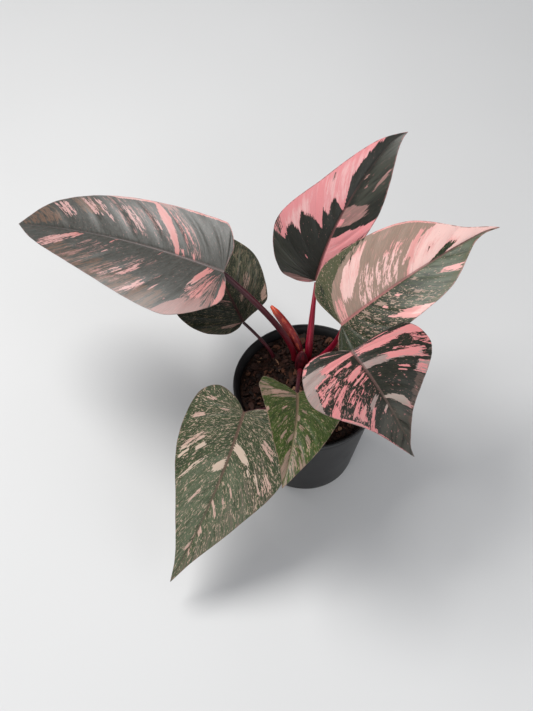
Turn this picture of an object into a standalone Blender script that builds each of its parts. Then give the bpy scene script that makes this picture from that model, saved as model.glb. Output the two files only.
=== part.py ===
"""Pink princess philodendron: seven heart-shaped leaves on red petioles, rising from a short
stem in a round nursery pot filled with bark compost.

World frame: metres, +Z up, origin at the centre of the pot's flat base on the ground.
The plant's front faces -Y. Sizes below are in millimetres and degrees where the name says so.
"""
import math

import bmesh
import bpy
import numpy as np
from mathutils import Vector, noise

MM = 0.001
GAP = 0.3 * MM
JOIN_DISTANCE = 0.001 * MM

# Pot
POT_HEIGHT = 100 * MM
POT_RIM_RADIUS = 60 * MM
POT_BASE_RADIUS = 42 * MM
POT_WALL = 1.2 * MM
POT_FLOOR = 1.6 * MM
POT_BAND_HEIGHT = 12 * MM
POT_BAND_STEP = 1.6 * MM
POT_LIP_RADIUS = 1.1 * MM
POT_LIP_DEPTH = 4 * MM
POT_SIDES = 48
DRAIN_COUNT = 6
DRAIN_RADIUS = 4.5 * MM
DRAIN_RING_RADIUS = 29 * MM

# Compost
SOIL_LEVEL = 94.5 * MM
SOIL_RELIEF = 3.2 * MM
SOIL_CHIP_SIZE = 10 * MM
SOIL_RINGS = 11

# Stem and petioles
STEM_X = -4.9 * MM
STEM_Y = 18.4 * MM
STEM_RADIUS = 5.5 * MM
STEM_TOP = 117 * MM
STEM_TAPER = 11 * MM
ROOT_DEPTH = 26 * MM
CLASP_HEIGHT = 99.5 * MM
TUBE_SIDES = 12
SINUS_GAP = 2.1 * MM
JOIN_GAP = 0.5 * MM
PETIOLE_REACH = 1.5 * MM

# Blades
BLADE_THICKNESS = 0.8 * MM
RIB_DEPTH = 1.1 * MM
RIB_STARTS = 4 * MM
RIB_LEAD = 8 * MM
RIB_TAPER = 20 * MM
BLADE_ROWS = 20
BLADE_COLUMNS = (0.0, 0.07, 0.35, 0.7, 1.0)
BASE_FAN = 0.22
VEIN_SPREAD = 1.5
HOOK_STARTS = 0.88
QUILT_DEPTH = 0.35 * MM

# Each blade: where its midrib meets the petiole, the compass heading of the midrib from +X,
# its rise above level, its roll about the midrib, its length, how far the midrib bends down
# from base to tip, how far the tip sweeps to the left over the length, how far its last part
# hooks to the left, the fold of each half up from the midrib, the arch of each half back down,
# and the droop of the lobes.
# Half outlines: how far the lobe reaches back, where along its width it does so, the place of
# its shoulder along and across, where the half is widest, its half width there, its half width
# at 0.6 and at 0.86 of the length.
LEAVES = {
    "left": dict(
        base=(-65.7, 49.7, 178), heading=155, rise=2, roll=-10, length=193, bend=20,
        sweep=10, hook=0, fold=21, arch=21.3, droop=4,
        left_half=(10.6, 29.4, 17.5, 55, 41.9, 55.9, 36.6, 17.4),
        right_half=(-0.6, 20.9, 12.5, 37.3, 17.5, 38.2, 34.2, 21),
    ),
    "back_left": dict(
        base=(-52.1, 42.3, 125), heading=110.5, rise=-7, roll=-16, length=146, bend=2,
        sweep=-1, hook=0, fold=26, arch=10.9, droop=2,
        left_half=(9.6, 17.1, -1.5, 34.7, 28.7, 48, 26.9, 10),
        right_half=(1, 23.6, 1.8, 28.3, 46.7, 36.5, 23.9, 7.4),
    ),
    "top": dict(
        base=(6.7, 70.2, 143), heading=39, rise=81, roll=14, length=144, bend=43,
        sweep=-16.5, hook=-5, fold=12, arch=12.6, droop=5,
        left_half=(8.2, 19.6, -6.7, 31.5, 35, 47, 26.1, 10.8),
        right_half=(10.3, 20.2, -3.7, 24.2, 43.7, 25.2, 26.3, 12),
    ),
    "right": dict(
        base=(23.3, 12.4, 160), heading=17, rise=43, roll=16, length=139, bend=33.5,
        sweep=0, hook=-3, fold=16, arch=9, droop=5,
        left_half=(3.3, 29.7, 10.6, 42.6, 37.2, 44.6, 35.2, 7.7),
        right_half=(12.6, 28.7, 0, 32.7, 14.4, 34.3, 27.7, 3.6),
    ),
    "front_right": dict(
        base=(26.5, -34.5, 191), heading=-58, rise=0, roll=2, length=97.5, bend=78,
        sweep=9.3, hook=0, fold=8, arch=17, droop=5,
        left_half=(0.2, 30.3, 1.2, 47.9, 22.9, 53.5, 13.6, 0.8),
        right_half=(8.1, 23.7, -4.2, 37.6, 21.8, 48, 19.9, 6.2),
    ),
    "front_left": dict(
        base=(-50.4, -37.7, 116), heading=-111, rise=-34.6, roll=0, length=144, bend=5,
        sweep=-17.7, hook=0, fold=8, arch=20.9, droop=5,
        left_half=(9.4, 31.6, -3.5, 38.5, 41.5, 46, 26.6, 7.4),
        right_half=(14, 25.3, -4, 39.2, 34.8, 43.9, 23.6, 6.2),
    ),
    "front": dict(
        base=(-9.9, -26.9, 126), heading=-89, rise=27.4, roll=-15, length=93, bend=39.5,
        sweep=-6, hook=0, fold=15, arch=14.1, droop=7,
        left_half=(9.6, 22.8, -3.2, 32.6, 11.8, 36.2, 21.7, 8),
        right_half=(7.3, 26.8, 1.9, 30.6, 6.9, 31.5, 16.8, 5.2),
    ),
}

# Each petiole clasps the stem on the given bearing, or leaves the compost at the given point.
# Radii run from the root or sheath to the blade. The rise is how far it climbs before it turns,
# and the lean how far it leans out as it starts.
# A petiole ends under its blade's base, or, on an upright blade, in the notch between the lobes.
PETIOLES = {
    "left": dict(bearing=135, radii=(2.5, 2.5, 2.5, 2.3), rise=33),
    "back_left": dict(ground=(-27.8, 27.8), radii=(1.6, 1.4, 1.3, 1.3), rise=12),
    "top": dict(bearing=50, radii=(2.9, 3.1, 2.4, 1.3), rise=20, joins_in_sinus=True),
    "right": dict(bearing=6, radii=(2.5, 2.5, 2.0, 1.7), rise=26, lean=48),
    "front_right": dict(bearing=-50, radii=(2.6, 2.5, 1.9, 1.7), rise=24),
    "front_left": dict(ground=(-19.7, -26.5), radii=(2.0, 1.9, 1.8, 1.7), rise=14),
    "front": dict(bearing=-98, radii=(2.5, 2.3, 1.8, 1.5), rise=11),
}

# The furled sheath of the next leaf
SHEATH_BEARING = 92
SHEATH_TIP = (-29.6 * MM, 52 * MM, 133.5 * MM)
SHEATH_RADII = (2.3, 2.4, 2.5, 2.8, 3.1, 3.4, 3.6, 3.6, 3.6, 3.5, 3.3, 2.8, 1.2)
SHEATH_RISE = 20 * MM

COLOURS = {
    "pot": ((0.012, 0.012, 0.013), 0.45),
    "soil": ((0.045, 0.022, 0.012), 0.95),
    "stem": ((0.12, 0.010, 0.015), 0.45),
    "petiole": ((0.20, 0.012, 0.025), 0.42),
    "new_leaf_sheath": ((0.45, 0.07, 0.035), 0.5),
    "leaf_left": ((0.15, 0.12, 0.10), 0.4),
    "leaf_back_left": ((0.02, 0.07, 0.02), 0.4),
    "leaf_top": ((0.42, 0.16, 0.18), 0.4),
    "leaf_right": ((0.30, 0.22, 0.14), 0.4),
    "leaf_front_right": ((0.20, 0.10, 0.10), 0.4),
    "leaf_front_left": ((0.18, 0.20, 0.10), 0.4),
    "leaf_front": ((0.16, 0.20, 0.06), 0.4),
}


def clear_scene():
    for item in list(bpy.data.objects):
        bpy.data.objects.remove(item, do_unlink=True)


def material(name):
    """A plain surface in the sub-part's main colour."""
    colour, roughness = COLOURS[name]
    surface = bpy.data.materials.new(name)
    surface.use_nodes = True
    shader = surface.node_tree.nodes["Principled BSDF"]
    shader.inputs["Base Color"].default_value = (*colour, 1.0)
    shader.inputs["Roughness"].default_value = roughness
    return surface


def solid(name, points, faces, look, smooth=True):
    """An object from points and faces, with its faces turned outward."""
    mesh = bpy.data.meshes.new(name)
    mesh.from_pydata([tuple(map(float, p)) for p in points], [], faces)
    shape = bmesh.new()
    shape.from_mesh(mesh)
    bmesh.ops.remove_doubles(shape, verts=shape.verts, dist=JOIN_DISTANCE)
    bmesh.ops.recalc_face_normals(shape, faces=shape.faces)
    shape.to_mesh(mesh)
    shape.free()
    mesh.materials.append(material(look))
    if smooth:
        mesh.shade_smooth()
        mesh.set_sharp_from_angle(angle=math.radians(40))
    item = bpy.data.objects.new(name, mesh)
    bpy.context.collection.objects.link(item)
    return item


def turned(profile, sides):
    """Points and faces of an outline (radius, height) turned round Z, from axis to axis."""
    points = []
    rings = []
    for radius, height in profile:
        if radius < 1e-9:
            rings.append([len(points)] * sides)
            points.append((0.0, 0.0, height))
            continue
        start = len(points)
        for k in range(sides):
            angle = 2 * math.pi * k / sides
            points.append((radius * math.cos(angle), radius * math.sin(angle), height))
        rings.append(list(range(start, start + sides)))
    faces = []
    for lower, upper in zip(rings, rings[1:]):
        for k in range(sides):
            n = (k + 1) % sides
            loop = (lower[k], lower[n], upper[n], upper[k])
            faces.append(tuple(dict.fromkeys(loop)))
    return points, faces


def sweep_tube(path, radii, sides):
    """Points and faces of a capped round tube along a path."""
    path = np.asarray(path, float)
    along = np.gradient(path, axis=0)
    along /= np.linalg.norm(along, axis=1)[:, None]
    side = np.cross(along[0], (0.31, 0.95, 0.05))
    points = []
    for centre, heading, radius in zip(path, along, radii):
        side = side - heading * np.dot(side, heading)
        side /= np.linalg.norm(side)
        other = np.cross(heading, side)
        for k in range(sides):
            angle = 2 * math.pi * k / sides
            points.append(centre + radius * (math.cos(angle) * side + math.sin(angle) * other))
    faces = [tuple(range(sides))[::-1]]
    for i in range(len(path) - 1):
        for k in range(sides):
            n = (k + 1) % sides
            row = i * sides
            faces.append((row + k, row + n, row + sides + n, row + sides + k))
    last = (len(path) - 1) * sides
    faces.append(tuple(range(last, last + sides)))
    return points, faces


def cut(item, points, faces):
    """Takes a closed shape away from an object, at once."""
    cutter = solid(item.name + "_cutter", points, faces, "pot", smooth=False)
    step = item.modifiers.new("cut", "BOOLEAN")
    step.operation = "DIFFERENCE"
    step.solver = "EXACT"
    step.object = cutter
    graph = bpy.context.evaluated_depsgraph_get()
    mesh = bpy.data.meshes.new_from_object(item.evaluated_get(graph))
    item.modifiers.clear()
    item.data = mesh
    bpy.data.objects.remove(cutter, do_unlink=True)


def pot_outer_radius(height):
    """Radius of the pot's plain wall below the rim band."""
    wall_top = POT_RIM_RADIUS - POT_BAND_STEP - 1.5 * MM
    return POT_BASE_RADIUS + (wall_top - POT_BASE_RADIUS) * height / POT_HEIGHT


def pot_inner_radius(height):
    return pot_outer_radius(height) - POT_WALL


def make_pot():
    band_foot = POT_HEIGHT - POT_BAND_HEIGHT
    wall_at_band = pot_outer_radius(band_foot)
    lip_centre = POT_RIM_RADIUS - POT_LIP_RADIUS
    lip_height = POT_HEIGHT - POT_LIP_RADIUS
    profile = [
        (0, 0), (POT_BASE_RADIUS - 1 * MM, 0), (POT_BASE_RADIUS, 1 * MM),
        (wall_at_band, band_foot), (wall_at_band + POT_BAND_STEP, band_foot + 0.8 * MM),
    ]
    for step in range(7):
        angle = math.radians(-30 + 35 * step)
        profile.append((
            lip_centre + POT_LIP_RADIUS * math.cos(angle),
            lip_height + POT_LIP_RADIUS * math.sin(angle),
        ))
    profile += [
        (pot_inner_radius(POT_HEIGHT - POT_LIP_DEPTH), POT_HEIGHT - POT_LIP_DEPTH),
        (pot_inner_radius(POT_FLOOR), POT_FLOOR), (0, POT_FLOOR),
    ]
    pot = solid("pot", *turned(profile, POT_SIDES), "pot")
    for k in range(DRAIN_COUNT):
        angle = 2 * math.pi * (k + 0.5) / DRAIN_COUNT
        centre = np.array((math.cos(angle), math.sin(angle), 0)) * DRAIN_RING_RADIUS
        path = [centre + (0, 0, -2 * MM), centre + (0, 0, POT_FLOOR + 2 * MM)]
        cut(pot, *sweep_tube(path, [DRAIN_RADIUS] * 2, 16))
    pot.data.shade_smooth()
    pot.data.set_sharp_from_angle(angle=math.radians(40))


def soil_height(x, y):
    """Height of the compost: domed bark chips, lower towards the wall and round the stem."""
    place = Vector((x, y, 0.37 * SOIL_CHIP_SIZE)) / SOIL_CHIP_SIZE
    nearest = noise.voronoi(place, distance_metric="DISTANCE")[0][0]
    tilt = noise.noise(place * 0.9)
    return SOIL_LEVEL + SOIL_RELIEF * (0.55 - 0.75 * nearest + 0.35 * tilt)


def make_soil(holes):
    foot = POT_FLOOR + GAP
    edge_height = SOIL_LEVEL - 1.5 * MM
    edge_radius = pot_inner_radius(edge_height) - GAP
    profile = [(0, foot), (pot_inner_radius(foot) - GAP, foot), (edge_radius, edge_height)]
    for ring in range(1, SOIL_RINGS + 1):
        profile.append((edge_radius * (1 - ring / SOIL_RINGS), SOIL_LEVEL))
    points, faces = turned(profile, POT_SIDES)
    shaped = []
    for x, y, z in points:
        if z == SOIL_LEVEL:
            turn = 0.14 * noise.noise(Vector((x, y, 0)) / SOIL_CHIP_SIZE)
            x, y = x * math.cos(turn) - y * math.sin(turn), x * math.sin(turn) + y * math.cos(turn)
            z = soil_height(x, y)
        shaped.append((x, y, z))
    triangles = []
    for face in faces:
        triangles += [face] if len(face) == 3 else [face[:3], (face[0], face[2], face[3])]
    soil = solid("soil", shaped, triangles, "soil", smooth=False)
    plug_points = []
    plug_faces = []
    for path, radius in holes:
        tube_points, tube_faces = sweep_tube(path, [radius] * 2, TUBE_SIDES)
        plug_faces += [tuple(k + len(plug_points) for k in face) for face in tube_faces]
        plug_points += tube_points
    cut(soil, plug_points, plug_faces)


def hole_radius(radius):
    """A hole whose flat sides stay clear of the round piece in it."""
    return (radius + GAP) / math.cos(math.pi / TUBE_SIDES)


def make_stem():
    profile = [
        (SOIL_LEVEL - ROOT_DEPTH, 1.0), (SOIL_LEVEL + 4 * MM, 1.0), (STEM_TOP - STEM_TAPER, 1.0),
        (STEM_TOP - 0.5 * STEM_TAPER, 0.74), (STEM_TOP - 0.16 * STEM_TAPER, 0.42), (STEM_TOP, 0.2),
    ]
    path = [(STEM_X, STEM_Y, height) for height, _ in profile]
    radii = [STEM_RADIUS * share for _, share in profile]
    solid("stem", *sweep_tube(path, radii, TUBE_SIDES), "stem")
    hole_foot = SOIL_LEVEL - ROOT_DEPTH - GAP
    hole = [(STEM_X, STEM_Y, hole_foot), (STEM_X, STEM_Y, STEM_TOP + 2 * MM)]
    return hole, hole_radius(STEM_RADIUS)


def unit(vector):
    vector = np.asarray(vector, float)
    return vector / np.linalg.norm(vector)


def smooth_curve(points, steps=10):
    """A curve through all the points, with no overshoot at close ones."""
    p = np.asarray(points, float)
    p = np.vstack([2 * p[0] - p[1], p, 2 * p[-1] - p[-2]])
    curve = []
    for i in range(1, len(p) - 2):
        p0, p1, p2, p3 = p[i - 1:i + 3]
        knots = [0.0]
        for a, b in ((p0, p1), (p1, p2), (p2, p3)):
            knots.append(knots[-1] + max(np.linalg.norm(b - a), 1e-9) ** 0.5)
        k0, k1, k2, k3 = knots
        t = np.linspace(k1, k2, steps, endpoint=False)[:, None]
        a1 = (k1 - t) / (k1 - k0) * p0 + (t - k0) / (k1 - k0) * p1
        a2 = (k2 - t) / (k2 - k1) * p1 + (t - k1) / (k2 - k1) * p2
        a3 = (k3 - t) / (k3 - k2) * p2 + (t - k2) / (k3 - k2) * p3
        b1 = (k2 - t) / (k2 - k0) * a1 + (t - k0) / (k2 - k0) * a2
        b2 = (k3 - t) / (k3 - k1) * a2 + (t - k1) / (k3 - k1) * a3
        curve.append((k2 - t) / (k2 - k1) * b1 + (t - k1) / (k2 - k1) * b2)
    curve.append(p[-2][None])
    return np.vstack(curve)


def half_outline(length, half):
    """One half of a heart-shaped outline from the sinus round the lobe to the tip."""
    back, lobe, shoulder_at, shoulder, widest_at, width, middle, near_tip = half
    points = [
        (0, 0), (-0.62 * back, 0.36 * lobe), (-back, lobe), (shoulder_at, shoulder),
        (widest_at, width), (0.6 * length, middle), (0.86 * length, near_tip), (length, 0),
    ]
    return smooth_curve(points) * MM


def leaf_axes(leaf):
    """Directions at the base of a blade: along the midrib, to its left, and out of its top."""
    heading, rise, roll = (math.radians(leaf[k]) for k in ("heading", "rise", "roll"))
    along = np.array((
        math.cos(heading) * math.cos(rise), math.sin(heading) * math.cos(rise), math.sin(rise),
    ))
    level = np.array((-math.sin(heading), math.cos(heading), 0.0))
    upright = np.cross(along, level)
    left = level * math.cos(roll) + upright * math.sin(roll)
    top = upright * math.cos(roll) - level * math.sin(roll)
    return along, left, top


def blade_surface(leaf, u, v):
    """Places and top directions of the blade u along its midrib and v to its left."""
    along, left, top = leaf_axes(leaf)
    length = leaf["length"] * MM
    width = max(leaf["left_half"][5], leaf["right_half"][5]) * MM
    turn = math.radians(leaf["bend"]) / length
    droop = math.radians(leaf["droop"]) / (0.2 * length)
    curl = np.where(u > 0, turn, droop)
    angle = curl * u
    forward = np.sin(angle) / curl
    down = (1 - np.cos(angle)) / curl
    aside = np.where(u > 0, leaf["sweep"] * MM * (u / length) ** 2, 0)
    hooked = np.clip((u / length - HOOK_STARTS) / (1 - HOOK_STARTS), 0, 1)
    aside = aside + leaf["hook"] * MM * hooked ** 2
    fold = math.radians(leaf["fold"])
    arch = math.radians(leaf["arch"]) / width
    slope = fold - arch * abs(v)
    across = np.sign(v) * (math.sin(fold) - np.sin(slope)) / arch
    lift = (np.cos(slope) - math.cos(fold)) / arch
    lean = np.cos(angle)[..., None] * top + np.sin(angle)[..., None] * along
    place = (
        np.array(leaf["base"]) * MM + forward[..., None] * along - down[..., None] * top
        + (aside + across)[..., None] * left + lift[..., None] * lean
    )
    tilt = (np.sign(v) * np.sin(slope))[..., None]
    facing = lean * np.cos(slope)[..., None] - tilt * left
    return place, facing / np.linalg.norm(facing, axis=-1, keepdims=True)


def half_grid(leaf, side):
    """Grid of (u, v) on one half: rows follow the veins, columns run from midrib to margin."""
    length = leaf["length"] * MM
    outline = half_outline(leaf["length"], leaf["left_half" if side > 0 else "right_half"])
    walked = np.r_[0, np.cumsum(np.linalg.norm(np.diff(outline, axis=0), axis=1))]
    share = np.linspace(0, 1, BLADE_ROWS + 1)
    end_u = np.interp(share * walked[-1], walked, outline[:, 0])[:, None]
    end_v = np.interp(share * walked[-1], walked, outline[:, 1])[:, None]
    start = length * np.clip((share - BASE_FAN) / (1 - BASE_FAN), 0, 1) ** VEIN_SPREAD
    start = start[:, None]
    t = np.array(BLADE_COLUMNS)[None]
    u = (1 - t) ** 2 * start + 2 * t * (1 - t) * (0.75 * start + 0.25 * end_u) + t * t * end_u
    v = 2 * t * (1 - t) * 0.55 * end_v + t * t * end_v
    return u, side * v


def blade_layers(leaf, side):
    """Top and underside grids of one half; the midrib stands proud of the underside."""
    u, v = half_grid(leaf, side)
    place, facing = blade_surface(leaf, u, v)
    rows = np.arange(BLADE_ROWS + 1)[:, None]
    across = np.array(BLADE_COLUMNS)[None]
    inside = (rows > 0) & (rows < BLADE_ROWS)
    quilt = QUILT_DEPTH * inside * (-1.0) ** rows * np.sin(math.pi * across)
    upper = place + quilt[..., None] * facing
    from_base = u[:, :1]
    to_tip = leaf["length"] * MM - from_base
    rib = np.clip((from_base - RIB_STARTS) / RIB_LEAD, 0, 1) * np.clip(to_tip / RIB_TAPER, 0, 1)
    depth = BLADE_THICKNESS + RIB_DEPTH * rib * (across == 0)
    return upper, upper - depth[..., None] * facing


def make_blade(name, leaf):
    """One closed blade: a top face, an underside split into the same triangles, and a margin."""
    points = []
    faces = []
    for side in (1, -1):
        upper, lower = blade_layers(leaf, side)
        high, wide = upper.shape[:2]
        first = len(points)
        under = high * wide
        points += list(upper.reshape(-1, 3)) + list(lower.reshape(-1, 3))
        for i in range(high - 1):
            row = first + i * wide
            for a in range(row, row + wide - 1):
                b, c, d = a + 1, a + 1 + wide, a + wide
                for loop in ((a, b, c), (a, c, d)):
                    faces.append(loop[::side])
                    faces.append(tuple(k + under for k in loop[::-side]))
            a = row + wide - 1
            b = a + wide
            faces.append((a, a + under, b + under, b)[::side])
    solid(name, points, faces, name)


def petiole_path(name, petiole):
    """Middle line of a petiole, its radii, and the hole it needs in the compost, if any."""
    leaf = LEAVES[name]
    along, _, top = leaf_axes(leaf)
    end = np.array(leaf["base"]) * MM
    hole = None
    if "bearing" in petiole:
        angle = math.radians(petiole["bearing"])
        reach = STEM_RADIUS + GAP + max(petiole["radii"][:2]) * MM
        start = np.array((
            STEM_X + reach * math.cos(angle), STEM_Y + reach * math.sin(angle), CLASP_HEIGHT,
        ))
        lean = math.radians(petiole.get("lean", 0))
        rising = np.array((
            math.cos(angle) * math.sin(lean), math.sin(angle) * math.sin(lean), math.cos(lean),
        ))
        lead = []
    else:
        start = np.array((*petiole["ground"], (SOIL_LEVEL + SOIL_RELIEF) / MM)) * MM
        rising = unit(unit(end - start) * (1, 1, 0) * 0.35 + (0, 0, 1))
        foot = start - rising * ROOT_DEPTH
        lead = [foot]
        radius = hole_radius(petiole["radii"][0] * MM)
        hole = ([foot - rising * GAP, start + rising * 4 * MM], radius)
    turn = start + rising * petiole["rise"] * MM
    if petiole.get("joins_in_sinus"):
        end -= SINUS_GAP * along + 0.5 * BLADE_THICKNESS * top
    else:
        tilt = np.dot(unit(end - turn), top)
        reach_up = petiole["radii"][-1] * MM * math.sqrt(1 - tilt ** 2)
        end += PETIOLE_REACH * along - (BLADE_THICKNESS + JOIN_GAP + reach_up) * top
    steps = np.linspace(0, 1, 9)[:, None]
    arc = (1 - steps) ** 2 * start + 2 * steps * (1 - steps) * turn + steps ** 2 * end
    path = np.vstack([*lead, arc])
    share = np.linspace(0, 1, len(petiole["radii"]))
    radii = np.interp(steps[:, 0], share, petiole["radii"]) * MM
    if lead:
        radii = np.r_[radii[0], radii]
    return path, radii, hole


def make_petioles():
    holes = []
    for name, petiole in PETIOLES.items():
        path, radii, hole = petiole_path(name, petiole)
        solid("petiole_" + name, *sweep_tube(path, radii, TUBE_SIDES), "petiole")
        if hole:
            holes.append(hole)
    return holes


def make_new_leaf_sheath():
    """The pointed sheath round the next leaf, against the stem."""
    angle = math.radians(SHEATH_BEARING)
    reach = STEM_RADIUS + GAP + SHEATH_RADII[1] * MM
    start = np.array((
        STEM_X + reach * math.cos(angle), STEM_Y + reach * math.sin(angle), CLASP_HEIGHT,
    ))
    turn = start + (0, 0, SHEATH_RISE)
    steps = np.linspace(0, 1, 13)[:, None]
    path = (1 - steps) ** 2 * start + 2 * steps * (1 - steps) * turn + steps ** 2 * SHEATH_TIP
    share = np.linspace(0, 1, len(SHEATH_RADII))
    radii = np.interp(steps[:, 0], share, SHEATH_RADII) * MM
    solid("new_leaf_sheath", *sweep_tube(path, radii, TUBE_SIDES), "new_leaf_sheath")


clear_scene()
make_pot()
soil_holes = [make_stem()]
soil_holes += make_petioles()
make_soil(soil_holes)
make_new_leaf_sheath()
for leaf_name, leaf_shape in LEAVES.items():
    make_blade("leaf_" + leaf_name, leaf_shape)
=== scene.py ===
"""Looks of the potted pink princess philodendron: marbled blades with veins and midribs,
grooved crimson petioles, a furled new leaf, bark compost and a black nursery pot.

World frame: metres, +Z up, origin at the centre of the pot's base. The front faces -Y.
"""

import math

import bmesh
import bpy
import numpy as np
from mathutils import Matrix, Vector, noise


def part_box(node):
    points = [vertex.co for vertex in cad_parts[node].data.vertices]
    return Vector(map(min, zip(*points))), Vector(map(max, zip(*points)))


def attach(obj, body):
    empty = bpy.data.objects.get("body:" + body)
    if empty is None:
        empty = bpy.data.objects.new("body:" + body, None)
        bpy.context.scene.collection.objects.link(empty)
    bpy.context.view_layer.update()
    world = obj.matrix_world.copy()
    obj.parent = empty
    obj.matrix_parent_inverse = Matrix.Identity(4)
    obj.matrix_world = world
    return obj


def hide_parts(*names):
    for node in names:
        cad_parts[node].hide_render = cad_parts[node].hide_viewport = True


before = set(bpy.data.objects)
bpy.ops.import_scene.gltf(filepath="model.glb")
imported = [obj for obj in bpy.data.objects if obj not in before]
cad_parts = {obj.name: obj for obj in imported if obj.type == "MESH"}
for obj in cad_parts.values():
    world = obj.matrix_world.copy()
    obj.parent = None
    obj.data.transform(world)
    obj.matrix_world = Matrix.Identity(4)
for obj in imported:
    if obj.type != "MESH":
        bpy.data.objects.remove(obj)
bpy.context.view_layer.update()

MM = 0.001

# Pot and compost, from the frame
_, pot_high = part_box("pot")
soil_low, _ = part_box("soil")
stem_low, stem_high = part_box("stem")
POT_HEIGHT = pot_high.z
POT_RIM_RADIUS = pot_high.x
POT_BASE_RADIUS = 42 * MM
POT_WALL = 1.2 * MM
POT_FLOOR = 1.6 * MM
POT_BAND_HEIGHT = 12 * MM
POT_BAND_STEP = 1.6 * MM
POT_LIP_RADIUS = 1.1 * MM
POT_LIP_DEPTH = 4 * MM
POT_FOOT_ROUND = 1 * MM
POT_WALL_INSET = 1.5 * MM
POT_SIDES = 160
DRAIN_COUNT = 6
DRAIN_RADIUS = 4.5 * MM
DRAIN_RING_RADIUS = 29 * MM
DRAIN_SIDES = 32
DRAIN_MARGIN = 2 * MM
SOIL_LEVEL = 94.5 * MM
SOIL_RELIEF = 3.2 * MM
SOIL_EDGE_DROP = 1.5 * MM
SOIL_EDGE_WIDTH = 3 * MM
SOIL_CHIP_SIZE = 10 * MM
SOIL_RINGS = 90
SOIL_SIDES = 240
CHIP_COUNT = 1500
CHIP_SIZES = (0.8, 1.3, 2.0, 2.9, 4.2)
CHIP_SHARES = (0.32, 0.30, 0.22, 0.12, 0.04)
CHIP_BEVEL = 0.16 * MM
CHIP_TILT = 0.42
CHIP_OUTLINE = (
    (1.0, 0.15), (0.62, 0.72), (-0.2, 0.95), (-0.95, 0.5), (-0.9, -0.45), (-0.1, -0.9),
    (0.7, -0.62),
)
CRUMB_SIZE = 2.6 * MM
CRUMB_RELIEF = 0.9 * MM
FIBRE_COUNT = 70

# Stem and petioles
STEM_X = (stem_low.x + stem_high.x) / 2
STEM_Y = (stem_low.y + stem_high.y) / 2
STEM_RADIUS = (stem_high.x - stem_low.x) / 2
STEM_TAPER = 11 * MM
STEM_RINGS = 60
STEM_BELOW = (0, 0.16, 0.5, 1.0)
STEM_WIDTHS = (0.2, 0.42, 0.74, 1.0)
GAP = 0.3 * MM
ROOT_DEPTH = 26 * MM
ROOT_LEAN = 0.35
ROOT_STEPS = (1.0, 0.66, 0.33)
CLASP_HEIGHT = 99.5 * MM
SINUS_GAP = 2.1 * MM
JOIN_GAP = 0.5 * MM
PETIOLE_REACH = 1.5 * MM
TUBE_SIDES = 28
TUBE_STEPS = 72
HOLLOW_STARTS = 0.97
HOLLOW_GAIN = 5

# Blades
BLADE_THICKNESS = 0.8 * MM
MARGIN_THICKNESS = 0.45 * MM
RIB_DEPTH = 1.1 * MM
RIB_STARTS = 4 * MM
RIB_LEAD = 8 * MM
RIB_TAPER = 20 * MM
RIB_HALF_WIDTH = 1.7 * MM
GROOVE_DEPTH = 0.35 * MM
GROOVE_HALF_WIDTH = 1.1 * MM
BLADE_ROWS = 240
BLADE_COLUMNS = 40
BASE_FAN = 0.22
VEIN_LEAN = 0.25
VEIN_BOW = 0.55
HOOK_STARTS = 0.88
VEIN_PAIRS = 10
QUILT_DEPTH = 0.35 * MM
VALLEY_DEPTH = 1.6
VALLEY_WIDTH = 0.16
SIDE_VEIN_DEPTH = 0.3 * MM
SIDE_VEIN_WIDTH = 0.06
MARGIN_WIDTH = 2.5 * MM
WAVE_HEIGHT = 0.25 * MM
WAVE_TURNS = (61, 23)
LEAST_STEP = 0.02
LEAST_REACH = 6.0
ACROSS_FEATHER = 1.7
ALONG_FEATHER = 8.0
TOOTH_FEATHER = 4.4
SOFT_FEATHER = 5.0
TONES = ("pink", "pale", "muted", "light", "tan", "specks")
SOFT_TONES = ("pale", "light", "tan", "specks")

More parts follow.
